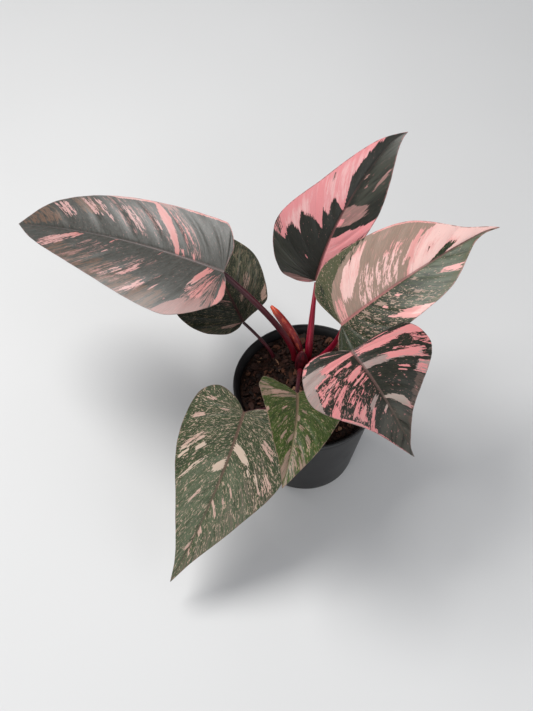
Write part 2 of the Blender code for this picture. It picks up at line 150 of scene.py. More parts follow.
# Blades, in millimetres and degrees: where the midrib meets the petiole, its compass heading
# from +X, its rise above level, the roll about it, the length, the bend down from base to tip,
# the sweep of the tip to the left and the hook of its last part, the fold of each half up from
# the midrib, the arch of each half back down, and the droop of the lobes. Half outlines: how far
# the lobe reaches back, where along its width, the place of its shoulder along and across, where
# the half is widest, its half width there, at 0.6 and at 0.86 of the length. Spread: how much
# closer the veins start towards the base.
LEAVES = {
    "left": dict(
        base=(-65.7, 49.7, 178), heading=155, rise=2, roll=-10, length=193, bend=20,
        sweep=10, hook=0, fold=21, arch=21.3, droop=4, spread=1.5,
        left_half=(10.6, 29.4, 17.5, 55, 41.9, 55.9, 36.6, 17.4),
        right_half=(-0.6, 20.9, 12.5, 37.3, 17.5, 38.2, 34.2, 21),
    ),
    "back_left": dict(
        base=(-52.1, 42.3, 125), heading=110.5, rise=-7, roll=-16, length=146, bend=2,
        sweep=-1, hook=0, fold=26, arch=10.9, droop=2, spread=2.0,
        left_half=(9.6, 17.1, -1.5, 34.7, 28.7, 48, 26.9, 10),
        right_half=(1, 23.6, 1.8, 28.3, 46.7, 36.5, 23.9, 7.4),
    ),
    "top": dict(
        base=(6.7, 70.2, 143), heading=39, rise=81, roll=14, length=144, bend=43,
        sweep=-16.5, hook=-5, fold=12, arch=12.6, droop=5, spread=2.5,
        left_half=(8.2, 19.6, -6.7, 31.5, 35, 47, 26.1, 10.8),
        right_half=(10.3, 20.2, -3.7, 24.2, 43.7, 25.2, 26.3, 12),
    ),
    "right": dict(
        base=(23.3, 12.4, 160), heading=17, rise=43, roll=16, length=139, bend=33.5,
        sweep=0, hook=-3, fold=16, arch=9, droop=5, spread=1.9,
        left_half=(3.3, 29.7, 10.6, 42.6, 37.2, 44.6, 35.2, 7.7),
        right_half=(12.6, 28.7, 0, 32.7, 14.4, 34.3, 27.7, 3.6),
    ),
    "front_right": dict(
        base=(26.5, -34.5, 191), heading=-58, rise=0, roll=2, length=97.5, bend=78,
        sweep=9.3, hook=0, fold=8, arch=17, droop=5, spread=2.0,
        left_half=(0.2, 30.3, 1.2, 47.9, 22.9, 53.5, 13.6, 0.8),
        right_half=(8.1, 23.7, -4.2, 37.6, 21.8, 48, 19.9, 6.2),
    ),
    "front_left": dict(
        base=(-50.4, -37.7, 116), heading=-111, rise=-34.6, roll=0, length=144, bend=5,
        sweep=-17.7, hook=0, fold=8, arch=20.9, droop=5, spread=2.3,
        left_half=(9.4, 31.6, -3.5, 38.5, 41.5, 46, 26.6, 7.4),
        right_half=(14, 25.3, -4, 39.2, 34.8, 43.9, 23.6, 6.2),
    ),
    "front": dict(
        base=(-9.9, -26.9, 126), heading=-89, rise=27.4, roll=-15, length=93, bend=39.5,
        sweep=-6, hook=0, fold=15, arch=14.1, droop=7, spread=2.6,
        left_half=(9.6, 22.8, -3.2, 32.6, 11.8, 36.2, 21.7, 8),
        right_half=(7.3, 26.8, 1.9, 30.6, 6.9, 31.5, 16.8, 5.2),
    ),
}

# Each petiole clasps the stem on the given bearing, or leaves the compost at the given point.
PETIOLES = {
    "left": dict(bearing=135, radii=(2.5, 2.5, 2.5, 2.3), rise=33),
    "back_left": dict(ground=(-27.8, 27.8), radii=(1.6, 1.4, 1.3, 1.3), rise=12),
    "top": dict(bearing=50, radii=(2.9, 3.1, 2.4, 1.3), rise=20, joins_in_sinus=True),
    "right": dict(bearing=6, radii=(2.5, 2.5, 2.0, 1.7), rise=26, lean=48),
    "front_right": dict(bearing=-50, radii=(2.6, 2.5, 1.9, 1.7), rise=24),
    "front_left": dict(ground=(-19.7, -26.5), radii=(2.0, 1.9, 1.8, 1.7), rise=14),
    "front": dict(bearing=-98, radii=(2.5, 2.3, 1.8, 1.5), rise=11),
}
DUSKY_STALKS = ("left", "back_left", "front_left", "front")
SHEATH_BEARING = 92
SHEATH_TIP = (-29.6 * MM, 52 * MM, 133.5 * MM)
SHEATH_RADII = (2.3, 2.4, 2.5, 2.8, 3.1, 3.4, 3.6, 3.6, 3.6, 3.5, 3.3, 2.8, 1.2)
SHEATH_RISE = 20 * MM

# Markings of each half, painted in order, one to a line: tone, how much of the patch is filled,
# then its stations from the midrib out, between commas. A station is the patch's lower and upper
# edge in percent of the half outline from the sinus to the tip, and how far it lies from the
# midrib (0) to the margin (1). A straight band has one station, with how far it starts and ends
# from the midrib. A patch with teeth has its stations along the outline instead: the percent,
# then its inner and outer end. A line that ends in a comma goes on in the next.
MARKS = {
    "left": dict(left="""
tan .6, 36 46 .7, 34 47 1
tan .56, 46 80 .66 1
muted .56, 15 22 .3 1
muted 1, 20 30 .62, 20 33 .8, 19 34 1
muted .6, 22 31 .2, 22 32 .62
pink 1, 31 35 .03, 31.6 35.2 .2, 32.5 34.2 .4
pink .52, 24 28.5 .14, 23.5 29.5 .6
pink .6, 30.6 33.4 .44, 30.8 32.6 .56
pink 1, 6.5 10 .45, 5.5 13.5 .75, 5 15.5 1
muted .42, 44 48 .5 1
muted .4, 51 60 .3 .92
muted .4, 66 76 .3 .95
pink .6, 52.2 53.8 .5, 52 54 .74
pink .5, 55.2 57 .66 .9
pink .58, 44.8 46.8 .66, 44.6 46.8 .92
pink .52, 41 41.8 .62 .76
pink .54, 54.4 55.4 .3, 54.2 55.2 .5
pink .6, 69.8 70.8 0, 69.8 70.6 .18
pink .58, 66.6 67.4 .4 .5
pink .58, 54.2 55 0, 54.4 54.8 .14
pink .56, 79.8 82.4 .12, 80 85.6 .5, 80.6 85.6 .95
pale .7, 30 90 .3 1
""", right="""
muted .62, 38 45 .9 1
muted .45, 38 44.6 .1, 38 44 .9
muted .42, 50.4 56 .2, 50 58 .9
muted .43, 58 66 .25, 58 67 .95
pink 1, 44.6 46.4 .98, 45.2 49.4 .72, 47 50.2 .4, 48.8 50.2 0
pink .9, 46 60 .955, 46 64 1
pink 1, 3 34 .958 1
pink .58, 34 46 .975 1
pink .54, 43 44.2 .3, 42.6 43.8 .86
pink .5, 40.4 41.6 .3, 40.2 41.6 .8
pink .8, 41.8 42.8 0, 41.8 42.6 .12
pink .7, 46.6 47.4 .02, 46.4 47.4 .14
pink .54, 61 62.4 .3, 61.2 63.2 .78
pink .51, 59.4 60.6 .36, 59.6 60.8 .68
pink .52, 52 53 .4 .6
pink .51, 68.8 70.4 .4, 69 70.6 .88
pale 1, 50 98 .2 1
tan .6, 71 78 .58 .96
pink .47, 71.6 74.6 .56 .94
pink .48, 80.6 84.6 .5 .9
tan .54, 86 98 .3 1
"""),
    "back_left": dict(left="""
pink 1, 7 16 .06, 9 18 .35, 11 18 .66
pale 1, 8 20 .2 1
muted .6, 8 22 .6 1
specks .3, 18 60 .1 1
pink .55, 50 55 .1, 50 54 .5
pink .52, 60 68 .4 .9
""", right="""
pink .62, 17 24 .76 .97
pale 1, 10 60 .1 1
muted .5, 30 60 .3 .9
specks .3, 20 70 .1 1
pink .5, 44 50 .2 .6
"""),
    # On the top blade's left half, the two pale bands across its middle are painted sheen on the
    # pink.
    "top": dict(left="""
pink 1, 36.4 94 0 1
pale .75, 46 62 .3 .9
pale .6, 70 90 .2 .9
light .8, 0 40 .3 1
muted .56, 36 44 .84 1
dark 1 teeth, 30 0 1.1, 36.2 0 1.02, 38.2 0 .93, 41.8 0 .72, 44.6 0 .73, 46 0 .79, 49.5 0 .79,
    52.4 0 .7, 54.2 0 .6, 55 0 .72, 56.4 0 .8, 58.4 0 .79, 60.2 0 .71, 61.8 0 .7, 63.6 0 .6,
    66.2 0 .47, 68.4 0 .33, 69.2 0 .42, 70 0 .57, 71.4 0 .5, 73.2 0 .37, 74.6 0 .5, 75.6 0 .55,
    77.4 0 .47, 78.6 0 .34, 79.6 0 .12, 80.4 0 0
dark 1 teeth, 80.4 -.1 0, 82.2 0 .14, 83.6 0 .3, 84.3 0 .56, 86.4 0 .6, 89 0 .74, 92 0 .85,
    96 0 .95, 98 0 1.1
muted 1, 0 15 .08, 0 18.4 .5, 0 16.4 1
pink .55, 2 9 .5 1
pink .9, 50 51 .26 .32
muted .7, 73.4 74.6 .84 .94
""", right="""
muted .7, 20 48 .05, 20 50 1
light .9, 76 101 .3 1
pink .52, 44 58 .3 1
pink 1, 40 70.8 0, 56 70.4 .14, 60 69.6 .5, 56 61.8 1
dark 1, 70.8 73.6 .04, 70.2 72.8 .4, 66 69.6 .75, 61.8 68 1
muted 1, 74.6 81 .02, 73.2 80.6 .3, 70.4 75.4 .72
pink .7, 74.8 77.6 .02, 74.4 77 .2
dark 1, 66 101 .78 1
muted .9, 79.8 82 .72, 81.6 84.4 .94
muted .7, 88.6 89.6 .06 .22
muted .7, 84.6 85.6 .34 .46
"""),
    "right": dict(left="""
tan 1, 8 32 .1, 8 40 .7, 8 50 1
specks .2, 8 32 .1, 8 40 .7, 8 50 1
dark .62, 12 24 .2, 12 26 .9
muted 1, 26 80 0, 28 80 .3, 33 80 .6, 39 80 .84, 48 80 1
pink .6, 30 39 .02, 32 39 .34
pink 1, 38.6 46 .26, 38.4 50 .5, 40.6 50 .72, 47 50 .88
pale .9, 38 51 .2 .85
dark .62, 43.4 44.6 .7, 43 45.4 .94
dark .56, 38 41.4 .78 .94
dark .56, 44.6 49.4 .93 1
pink .48, 51 61 0 .5
pink .5, 61.4 69 .1 .7
pink .9, 52 80 .975 1
pale .7, 50 72 0 .6
pink 1, 70.8 73.4 .32, 71.6 74.2 .62, 72.5 73.8 .9
pink 1, 72.6 101 0, 73.6 101 .5, 75 101 .85, 77 101 1
pale 1, 73.4 101 0, 74.6 101 .6, 76 101 1
dark 1, 80.6 84.4 0, 82.6 86.6 .14, 84.2 88 .32, 85.4 88.2 .5
dark 1, 84 96 0 .05
dark .53, 78.4 80.8 .36 .58
""", right="""
specks .45, 36 68 0 .9
pink .95, 51.6 56.4 .64, 51.4 58.4 .8, 51 60 1
pale .8, 53 60 .86 1
tan .8, 58 98 .9 1
light .8, 58 98 .6 1
light 1, 73.8 97 0 1
pink .9, 56.2 57.4 .27 .38
muted .9, 56.4 59 .12, 56.6 58.8 .27
muted .9, 49.4 51.2 .06, 49.4 51 .22
muted .8, 47.4 48.8 .2 .34
muted .8, 48.2 49.6 .38 .5
pink .7, 51.2 52.2 .56 .7
muted .8, 39.4 40.6 .46 .56
pink .8, 63.6 64.8 .22 .32
muted .9, 66.4 67.8 .46 .6
muted .9, 72.4 73.8 .14 .26
muted .8, 60.2 61.2 .26 .38
pale .8, 87 91 .08, 87 90 .5
pink .56, 76 78 .6, 76 79 .92
"""),
    "front_right": dict(left="""
pink .8, 27.2 28.6 .32, 27.4 28.8 .62
pink 1, 31 40.6 .03, 31.2 41 .2, 31.4 40.8 .32, 31.4 38.6 .5, 31 37 .7, 30.8 36.6 1
pink .54, 35 41 .78, 36 44 1
dark .58, 35.4 38.2 .58, 35.2 37.2 .78
muted 1, 49.4 55.2 0, 48.4 54.2 .2, 46.6 51.6 .46, 45.2 50.2 .7, 44.2 50 1
pink .95, 46.8 51.6 .36, 45.8 50.2 .6, 44.4 49.4 .82
dark .62, 43 50.4 .84 1
pink .9, 54.8 56 .54 .72
pink .56, 57.4 58.2 .54 .66
muted .8, 51.4 57 .82, 51.2 58 1
pink .52, 51.4 57 .84, 51.2 58 1
tan .62, 58 92 .86, 58 94 1
pink .5, 44 50 .5 .9
pink 1, 71.6 73 .02, 70.6 73.4 .4, 70.8 74.6 .66, 72.6 75 .88
pale 1, 69 76 0 .92
light 1, 76 101 0 1
""", right="""
pink .66, 9 24 .93 1
pink .56, 17.4 19.4 .36, 17.6 19.8 .76
pink .95, 25.4 28.6 .92 1
muted 1, 30 39.6 .5, 29.6 39.4 .75, 30 39.4 1
pink 1, 28.8 37 .02, 29.6 38 .35, 31.6 38.6 .6
pink .5, 38.8 42.8 .5, 38.8 43 .86
pink .53, 43.4 45.6 .46, 43.4 46 .82
pink .5, 46.2 49 .52, 46 49.2 .9
pink .9, 42.4 45.4 .12, 42.6 45.2 .24
pink .7, 41.4 43 .28, 41.2 42.8 .44
pink 1, 49.4 54.8 .05, 50 54 .38
pink .58, 55.8 57.2 .08, 55.8 57 .34
pink .58, 58.2 60 .06, 58.2 59.6 .3
muted 1, 39.2 41 .78, 39.2 47 .9, 39.2 50 1
pink .58, 49.8 51 .54, 49.8 51.2 .72
pink .6, 51.6 53.6 .46, 51.8 54.6 .72, 52.4 56.4 .97
pink .54, 56.4 59.6 .44, 57 60.2 .66
pink .54, 61.2 63.4 .32, 61.4 63.4 .5
pink .55, 61.4 66.4 .56, 62 68.4 .84
pink .66, 54 70 .955 1
specks .6, 38 70 .2 .96
pink .62, 69.8 71 .46, 70 72.4 .84, 70 77 1
pink .62, 76 96 .96 1
pink .7, 75.2 76.6 .04, 75.4 76.8 .36
pale 1, 66 70 .2 .62
muted .8, 68 69.8 .16, 67.6 69.8 .55
pale 1, 74 78 0 .4
light 1, 76 101 0 1
"""),
    "front_left": dict(left="""
pink 1, 56.6 61 .03, 56.4 60.4 .26, 57 59.4 .42
pink .62, 58.6 60 .46 .56
pink .56, 41 45.4 .46, 41.6 45.6 .7
pink .62, 79 80 .05 .5
pink .56, 74.4 75.4 .3 .46
pink .58, 69.8 70.8 .38 .54
pink .54, 56 57.6 .62, 56 57.4 .84
pink .52, 50 55 .74 .9
pink .72, 86.4 88 .04 .3
pink .58, 91.4 92.6 .1 .5
pale .9, 54 64 0 .8
light .7, 64 101 .1, 62 101 1
tan .5, 50 101 .55 1
specks .12, 10 60 .2 1
""", right="""
pink .9, 51.4 53.8 .52 .68
pink .58, 46 49.2 .54, 46.2 49.4 .88
pink .62, 50 51.4 .78 .95
pink .62, 58.4 59.8 .48, 59 60.4 .96
pink .95, 65 69.4 .03, 65.4 68.6 .3
pink .6, 28.6 31.4 .24, 28.6 31 .38
pink .58, 21 23.6 .6 .76
pink .58, 33 35.4 .64 .82
pink .56, 71.4 73 .5 .72
pink .56, 90.6 91.8 .06 .4
pale 1, 48 72 0 1
light .7, 62 101 .1, 60 101 1
specks .12, 10 50 .2 1
"""),
    "front": dict(left="""
muted .8, 65 67 .14, 65.2 67 .3
muted .9, 70.4 75 .02, 70.8 75 .12
muted 1, 80.8 84.4 0, 81 84 .12
muted .7, 76 78.6 .12 .34
pink .7, 79 80.4 .6 .78
muted .62, 76.6 79.6 .5 .74
muted .54, 84 101 .1 1
""", right="""
muted .6, 44 52 0, 43 51 .25, 40 50 .5, 30.5 46 .76, 28 42 1
pink .52, 41 46 .2, 36 44 .7
pink .66, 60.4 61.8 .4 .56
pink .66, 52 55 .92 1
muted .62, 68.6 70.2 .44, 68.8 70.4 .8
muted .95, 81.8 84.6 .06, 82 84.6 .5
muted .66, 88 97 .03, 87.4 97 .5, 89 98 1
muted .58, 76 78.6 .5 .76
"""),
}

# Colours of each blade: its green in the dark and in the light parts, its paler zone, its
# muted and bright pink, its near-white pink, which also makes the painted sheen streaks in the
# pink, its tan, its flecks, and the midrib at the base and tip. Then how thick the flecks lie,
# how strong the mottling is, and how rough the surface.
PALETTES = {
    "left": dict(
        dark=(0.036, 0.035, 0.029), green=(0.072, 0.071, 0.064), light=(0.105, 0.102, 0.092),
        muted=(0.27, 0.155, 0.140), pink=(0.50, 0.205, 0.19), pale=(0.50, 0.30, 0.28),
        tan=(0.150, 0.088, 0.060), fleck=(0.17, 0.115, 0.10), rib=(0.13, 0.10, 0.095),
        rib_tip=(0.07, 0.06, 0.055), flecks=0.14, mottle=0.6, gloss=0.36, sheen=0.42,
    ),
    "back_left": dict(
        dark=(0.006, 0.008, 0.003), green=(0.016, 0.023, 0.008), light=(0.036, 0.046, 0.018),
        muted=(0.07, 0.070, 0.040), pink=(0.36, 0.18, 0.15), pale=(0.32, 0.21, 0.165),
        tan=(0.07, 0.06, 0.03), fleck=(0.105, 0.115, 0.062), rib=(0.055, 0.012, 0.013),
        rib_tip=(0.03, 0.015, 0.012), flecks=0.34, mottle=0.8, gloss=0.42,
    ),
    "top": dict(
        dark=(0.012, 0.012, 0.010), green=(0.025, 0.025, 0.019), light=(0.050, 0.052, 0.040),
        muted=(0.27, 0.155, 0.138), pink=(0.70, 0.26, 0.27), pale=(0.76, 0.46, 0.45),
        tan=(0.10, 0.07, 0.055), fleck=(0.07, 0.05, 0.04), rib=(0.25, 0.085, 0.085),
        rib_tip=(0.03, 0.022, 0.018), flecks=0.06, mottle=0.4, gloss=0.34,
    ),
    "right": dict(
        dark=(0.009, 0.012, 0.005), green=(0.028, 0.040, 0.013), light=(0.095, 0.112, 0.072),
        muted=(0.285, 0.200, 0.155), pink=(0.68, 0.31, 0.29), pale=(0.76, 0.50, 0.46),
        tan=(0.082, 0.084, 0.042), fleck=(0.36, 0.29, 0.21), rib=(0.40, 0.15, 0.145),
        rib_tip=(0.12, 0.06, 0.05), flecks=0.24, mottle=1.0, gloss=0.40,
    ),
    "front_right": dict(
        dark=(0.008, 0.008, 0.005), green=(0.021, 0.022, 0.013), light=(0.062, 0.058, 0.044),
        muted=(0.30, 0.225, 0.205), pink=(0.62, 0.225, 0.225), pale=(0.36, 0.29, 0.25),
        tan=(0.11, 0.07, 0.055), fleck=(0.30, 0.15, 0.135), rib=(0.12, 0.062, 0.054),
        rib_tip=(0.09, 0.07, 0.055), flecks=0.18, mottle=0.6, gloss=0.38,
    ),
    "front_left": dict(
        dark=(0.018, 0.027, 0.009), green=(0.050, 0.074, 0.028), light=(0.110, 0.132, 0.078),
        muted=(0.16, 0.11, 0.085), pink=(0.50, 0.33, 0.27), pale=(0.54, 0.42, 0.33),
        tan=(0.13, 0.10, 0.073), fleck=(0.38, 0.29, 0.21), rib=(0.13, 0.070, 0.052),
        rib_tip=(0.10, 0.08, 0.055), flecks=0.46, mottle=0.9, gloss=0.44,
    ),
    "front": dict(
        dark=(0.020, 0.036, 0.007), green=(0.056, 0.088, 0.018), light=(0.110, 0.140, 0.050),
        muted=(0.25, 0.175, 0.13), pink=(0.40, 0.25, 0.20), pale=(0.34, 0.26, 0.18),
        tan=(0.15, 0.12, 0.07), fleck=(0.27, 0.22, 0.13), rib=(0.16, 0.095, 0.065),
        rib_tip=(0.17, 0.15, 0.08), flecks=0.40, mottle=0.8, gloss=0.42,
    ),
}


# Shader nodes

class Shader:
    """A material's node tree, with a short call for each kind of node."""

    def __init__(self, name):
        self.material = bpy.data.materials.new(name)
        self.material.use_nodes = True
        self.tree = self.material.node_tree
        self.surface = self.tree.nodes["Principled BSDF"]

    def feed(self, socket, value):
        if isinstance(value, bpy.types.NodeSocket):
            self.tree.links.new(value, socket)
        elif isinstance(value, tuple) and socket.type == "RGBA":
            socket.default_value = (*value[:3], 1.0)
        else:
            socket.default_value = value

    def made(self, kind, settings=None, *values, **inputs):
        """A node with its settings, its first inputs in order, and others by name."""
        node = self.tree.nodes.new(kind)
        for key, value in (settings or {}).items():
            setattr(node, key, value)
        for socket, value in zip(node.inputs, values):
            self.feed(socket, value)
        for key, value in inputs.items():
            self.feed(node.inputs[key.replace("_", " ")], value)
        return node

    def math(self, operation, *values):
        return self.made("ShaderNodeMath", {"operation": operation}, *values).outputs[0]

    def times(self, a, b):
        return self.math("MULTIPLY", a, b)

    def plus(self, a, b, share=1.0):
        """a times the share, plus b."""
        return self.math("MULTIPLY_ADD", a, share, b)

    def mix(self, share, low, high, blend="MIX"):
        node = self.made("ShaderNodeMix", {"data_type": "RGBA", "blend_type": blend}, share)
        self.feed(node.inputs[6], low)
        self.feed(node.inputs[7], high)
        return node.outputs[2]

    def attribute(self, name, out="Vector"):
        return self.made("ShaderNodeAttribute", {"attribute_name": name}).outputs[out]

    def object_place(self):
        return self.made("ShaderNodeTexCoord").outputs["Object"]

    def parts(self, vector):
        return self.made("ShaderNodeSeparateXYZ", None, vector).outputs

    def colours(self, colour):
        return self.made("ShaderNodeSeparateColor", None, colour).outputs

    def scaled(self, vector, scale, shift=(0.0, 0.0, 0.0)):
        return self.made(
            "ShaderNodeMapping", Vector=vector, Scale=scale, Location=shift,
        ).outputs["Vector"]

    def noise(self, vector, scale=1.0, detail=3.0, rough=0.5, warp=0.0):
        return self.made(
            "ShaderNodeTexNoise", Vector=vector, Scale=scale, Detail=detail, Roughness=rough,
            Distortion=warp,
        ).outputs["Fac"]

    def cells(self, vector, scale=1.0):
        return self.made("ShaderNodeTexVoronoi", Vector=vector, Scale=scale).outputs["Distance"]

    def step(self, value, low, high):
        """0 below low, 1 above high, smooth between; low may be above high."""
        return self.made(
            "ShaderNodeMapRange", {"interpolation_type": "SMOOTHSTEP"}, value, low, high,
        ).outputs["Result"]

    def over(self, tone, colour, value, low, high, amount=1.0):
        """The tone with a colour laid over it, by the amount, where value steps up."""
        return self.mix(self.times(self.step(value, low, high), amount), tone, colour)

    def bump(self, height, distance, strength=0.5):
        return self.made(
            "ShaderNodeBump", Strength=strength, Distance=distance, Height=height,
        ).outputs["Normal"]

    def finish(self, **inputs):
        for key, value in inputs.items():
            self.feed(self.surface.inputs[key.replace("_", " ")], value)
        return self.material


def scaled_colour(colour, scale):
    return tuple(scale * c for c in colour)


def halfway(first, second):
    return tuple(0.5 * (a + b) for a, b in zip(first, second))


def leaf_material(name, look, seed):
    """Marbled blade: greens mottled along the veins, pink patches with ragged ends, flecks."""
    m = Shader("leaf_" + name)
    grain = m.attribute("grain")
    along_rib, from_rib, from_edge = m.parts(m.attribute("place"))
    pink, pale, muted = m.colours(m.attribute("marks", "Color"))[:3]
    light = m.attribute("marks", "Alpha")
    specks = m.times(m.attribute("specks", "Fac"), 0.12)

    def grained(across, along, shift, detail, warp=0.0):
        place = m.scaled(grain, (across, along, 1.0), (seed + shift, 0, 0))
        return m.noise(place, detail=detail, warp=warp)

    coarse = grained(0.30, 0.045, 0, 2.0)
    fine = grained(1.05, 0.11, 7.3, 3.0, 0.4)
    hair = grained(2.6, 0.16, 3.1, 2.0)
    speck = grained(0.95, 0.46, 5.7, 2.5, 0.7)
    blot = grained(0.38, 0.20, 9.1, 3.5, 1.0)
    dust = grained(2.3, 1.1, 1.9, 2.0)
    jag = m.plus(m.math("SUBTRACT", fine, 0.5), m.times(m.math("SUBTRACT", coarse, 0.5), 0.9), 0.9)
    jag = m.plus(m.math("SUBTRACT", speck, 0.5), jag, 0.5)

    mottle = look["mottle"]
    reach = 0.4 + mottle
    leafy = m.over(
        look["dark"], look["green"], m.plus(fine, m.times(blot, 0.55), 0.45),
        0.5 - 0.18 / reach, 0.5 + 0.16 / reach,
    )
    leafy = m.over(leafy, look["light"], m.plus(fine, coarse, 0.5), 0.45, 0.85, light)
    leafy = m.over(leafy, look["light"], hair, 0.50, 0.74, 0.40 * mottle)
    leafy = m.over(leafy, scaled_colour(look["dark"], 0.45), dust, 0.56, 0.70, 0.35 * mottle)
    leafy = m.over(leafy, look["tan"], m.plus(m.attribute("tan", "Fac"), jag), 0.42, 0.66, 0.8)

    level = 0.72 - 0.22 * look["flecks"]
    large = m.plus(speck, m.plus(blot, specks, 0.65), 0.35)
    small = m.plus(m.plus(blot, specks, 0.16), speck)
    flecked = m.over(look["fleck"], halfway(look["fleck"], look["pink"]), hair, 0.4, 0.6)
    leafy = m.over(leafy, look["fleck"], m.plus(dust, specks), level + 0.05, level + 0.08, 0.5)
    leafy = m.over(leafy, flecked, small, level + 0.06, level + 0.09, 0.7)
    leafy = m.over(leafy, flecked, large, level - 0.045, level - 0.020, 0.85)

    dull = m.over(
        scaled_colour(look["muted"], 0.92), scaled_colour(look["muted"], 1.10), hair, 0.35, 0.7,
    )
    dull = m.over(dull, look["pink"], fine, 0.54, 0.70, 0.35)
    dull = m.over(dull, look["tan"], dust, 0.60, 0.72, 0.25)
    body = m.over(leafy, dull, m.plus(muted, jag), 0.44, 0.60)
    rosy = m.over(look["pink"], look["pale"], m.plus(jag, pale, 0.9), 0.35, 0.95)
    rosy = m.over(rosy, scaled_colour(look["pink"], 0.78), hair, 0.45, 0.75, 0.22)
    # Painted sheen: pale streaks run out along the veins in the pink.
    rosy = m.over(rosy, look["pale"], coarse, 0.50, 0.72, 0.30)
    rosy = m.over(rosy, look["green"], m.plus(fine, dust, 0.4), 0.92, 0.98, 0.7)
    body = m.over(body, rosy, m.plus(pink, jag), 0.45, 0.55)

    length = LEAVES[name]["length"]
    rib_width = m.made("ShaderNodeMapRange", None, along_rib, 0.0, length, 1.35, 0.35).outputs[0]
    off_rib = m.math("DIVIDE", m.math("ABSOLUTE", from_rib), rib_width)
    rib_tone = m.over(look["rib"], look["rib_tip"], along_rib, 0.1 * length, 0.75 * length)
    body = m.over(body, rib_tone, off_rib, 1.15, 0.75, 0.75)
    vein = m.step(m.attribute("vein", "Fac"), 0.45, 0.1)
    body = m.mix(m.times(vein, 0.16), body, (0.02, 0.015, 0.012), "MULTIPLY")
    edge = m.step(from_edge, 0.75, 0.3)
    body = m.over(body, halfway(look["rib"], look["muted"]), coarse, 0.4, 0.6, edge)
    body = m.mix(m.attribute("under", "Fac"), body, m.mix(0.45, body, (0.17, 0.10, 0.075)))
    pits = m.cells(m.scaled(grain, (1.5, 0.8, 1.0)), 1.6)
    height = m.plus(fine, m.plus(hair, m.times(pits, 0.4), 0.5), 0.6)
    return m.finish(
        Base_Color=body, Roughness=m.plus(fine, look["gloss"] - 0.06, 0.16),
        Normal=m.bump(height, 0.00012), Specular_IOR_Level=look.get("sheen", 0.30),
        Subsurface_Weight=0.06, Subsurface_Radius=(0.004, 0.001, 0.0008), Subsurface_Scale=0.25,
    )


def petiole_material(name, base, middle, upper, streak):
    """Crimson stalk, darker where it clasps the stem, with fine lengthwise lines and painted shade
    in its groove.
    """
    m = Shader(name)
    along, groove = m.parts(m.attribute("way"))[:2]
    ring = m.attribute("ring")
    lines = m.noise(m.scaled(ring, (900.0, 900.0, 14.0)), detail=2.0)
    patches = m.noise(m.scaled(ring, (260.0, 260.0, 55.0)))
    tone = m.over(base, middle, along, 0.0, 0.42)
    tone = m.over(tone, upper, along, 0.5, 1.0)
    tone = m.over(tone, streak, lines, 0.52, 0.72, 0.55)
    tone = m.over(tone, scaled_colour(middle, 0.35), patches, 0.5, 0.75, 0.4)
    # Painted shade: the stalk darkens where its groove lies hollow.
    tone = m.mix(m.times(groove, 0.75), tone, scaled_colour(base, 0.3))
    pits = m.cells(m.scaled(ring, (1.0, 1.0, 0.5)), 1400.0)
    return m.finish(
        Base_Color=tone, Roughness=m.plus(patches, 0.28, 0.2),
        Normal=m.bump(m.plus(lines, m.times(pits, 0.3)), 0.0002), Specular_IOR_Level=0.32,
        Subsurface_Weight=0.08, Subsurface_Radius=(0.003, 0.0008, 0.0006), Subsurface_Scale=0.3,
    )


def sheath_material():
    """Furled sheath: orange-red and speckled at the tip, crimson where it leaves the stem."""
    m = Shader("new_leaf_sheath")
    along = m.parts(m.attribute("way"))[0]
    ring = m.attribute("ring")
    speck = m.noise(m.scaled(ring, (520.0, 520.0, 260.0)))
    lines = m.noise(m.scaled(ring, (800.0, 800.0, 22.0)), detail=2.0)
    tone = m.over((0.12, 0.003, 0.010), (0.22, 0.012, 0.012), along, 0.15, 0.6)
    tone = m.over(tone, (0.70, 0.075, 0.022), along, 0.78, 0.97)
    tone = m.over(tone, (0.50, 0.10, 0.045), speck, 0.54, 0.64, 0.55)
    tone = m.over(tone, (0.07, 0.006, 0.006), lines, 0.5, 0.7, 0.5)
    return m.finish(
        Base_Color=tone, Roughness=m.plus(speck, 0.3, 0.2),
        Normal=m.bump(m.plus(speck, lines, 0.6), 0.00025, 0.6), Specular_IOR_Level=0.5,
        Subsurface_Weight=0.1, Subsurface_Radius=(0.004, 0.001, 0.0006), Subsurface_Scale=0.3,
    )


def stem_material():
    """Short stem wrapped in old sheaths: dark crimson, brown where they have dried."""
    m = Shader("stem")
    ring = m.attribute("ring")
    bark = m.noise(m.scaled(ring, (300.0, 300.0, 60.0)), detail=4.0)
    lines = m.noise(m.scaled(ring, (900.0, 900.0, 30.0)), detail=2.0)
    rings = m.noise(m.scaled(ring, (20.0, 20.0, 420.0)), detail=2.0)
    tone = m.over((0.030, 0.002, 0.005), (0.12, 0.006, 0.013), bark, 0.35, 0.7)
    tone = m.over(tone, (0.20, 0.015, 0.022), lines, 0.5, 0.72, 0.5)
    tone = m.over(tone, (0.10, 0.05, 0.03), rings, 0.58, 0.7, 0.5)
    return m.finish(
        Base_Color=tone, Roughness=m.plus(bark, 0.40, 0.2),
        Normal=m.bump(m.plus(lines, rings), 0.0004, 0.7), Specular_IOR_Level=0.25,
    )


def soil_material():
    """Dark moist compost: fine crumbs between the chips."""
    m = Shader("soil")
    place = m.object_place()
    crumbs = m.noise(place, 420.0, 6.0, 0.65)
    tone = m.over((0.005, 0.0025, 0.0018), (0.036, 0.016, 0.010), crumbs, 0.38, 0.66)
    tone = m.over(tone, (0.05, 0.020, 0.011), m.noise(place, 60.0, 2.0), 0.5, 0.7, 0.5)
    tone = m.over(tone, (0.16, 0.10, 0.06), crumbs, 0.70, 0.76)
    return m.finish(
        Base_Color=tone, Roughness=m.plus(crumbs, 0.55, 0.35),
        Normal=m.bump(m.plus(m.cells(place, 260.0), crumbs, 0.6), 0.0012, 0.8),
        Specular_IOR_Level=0.15,
    )


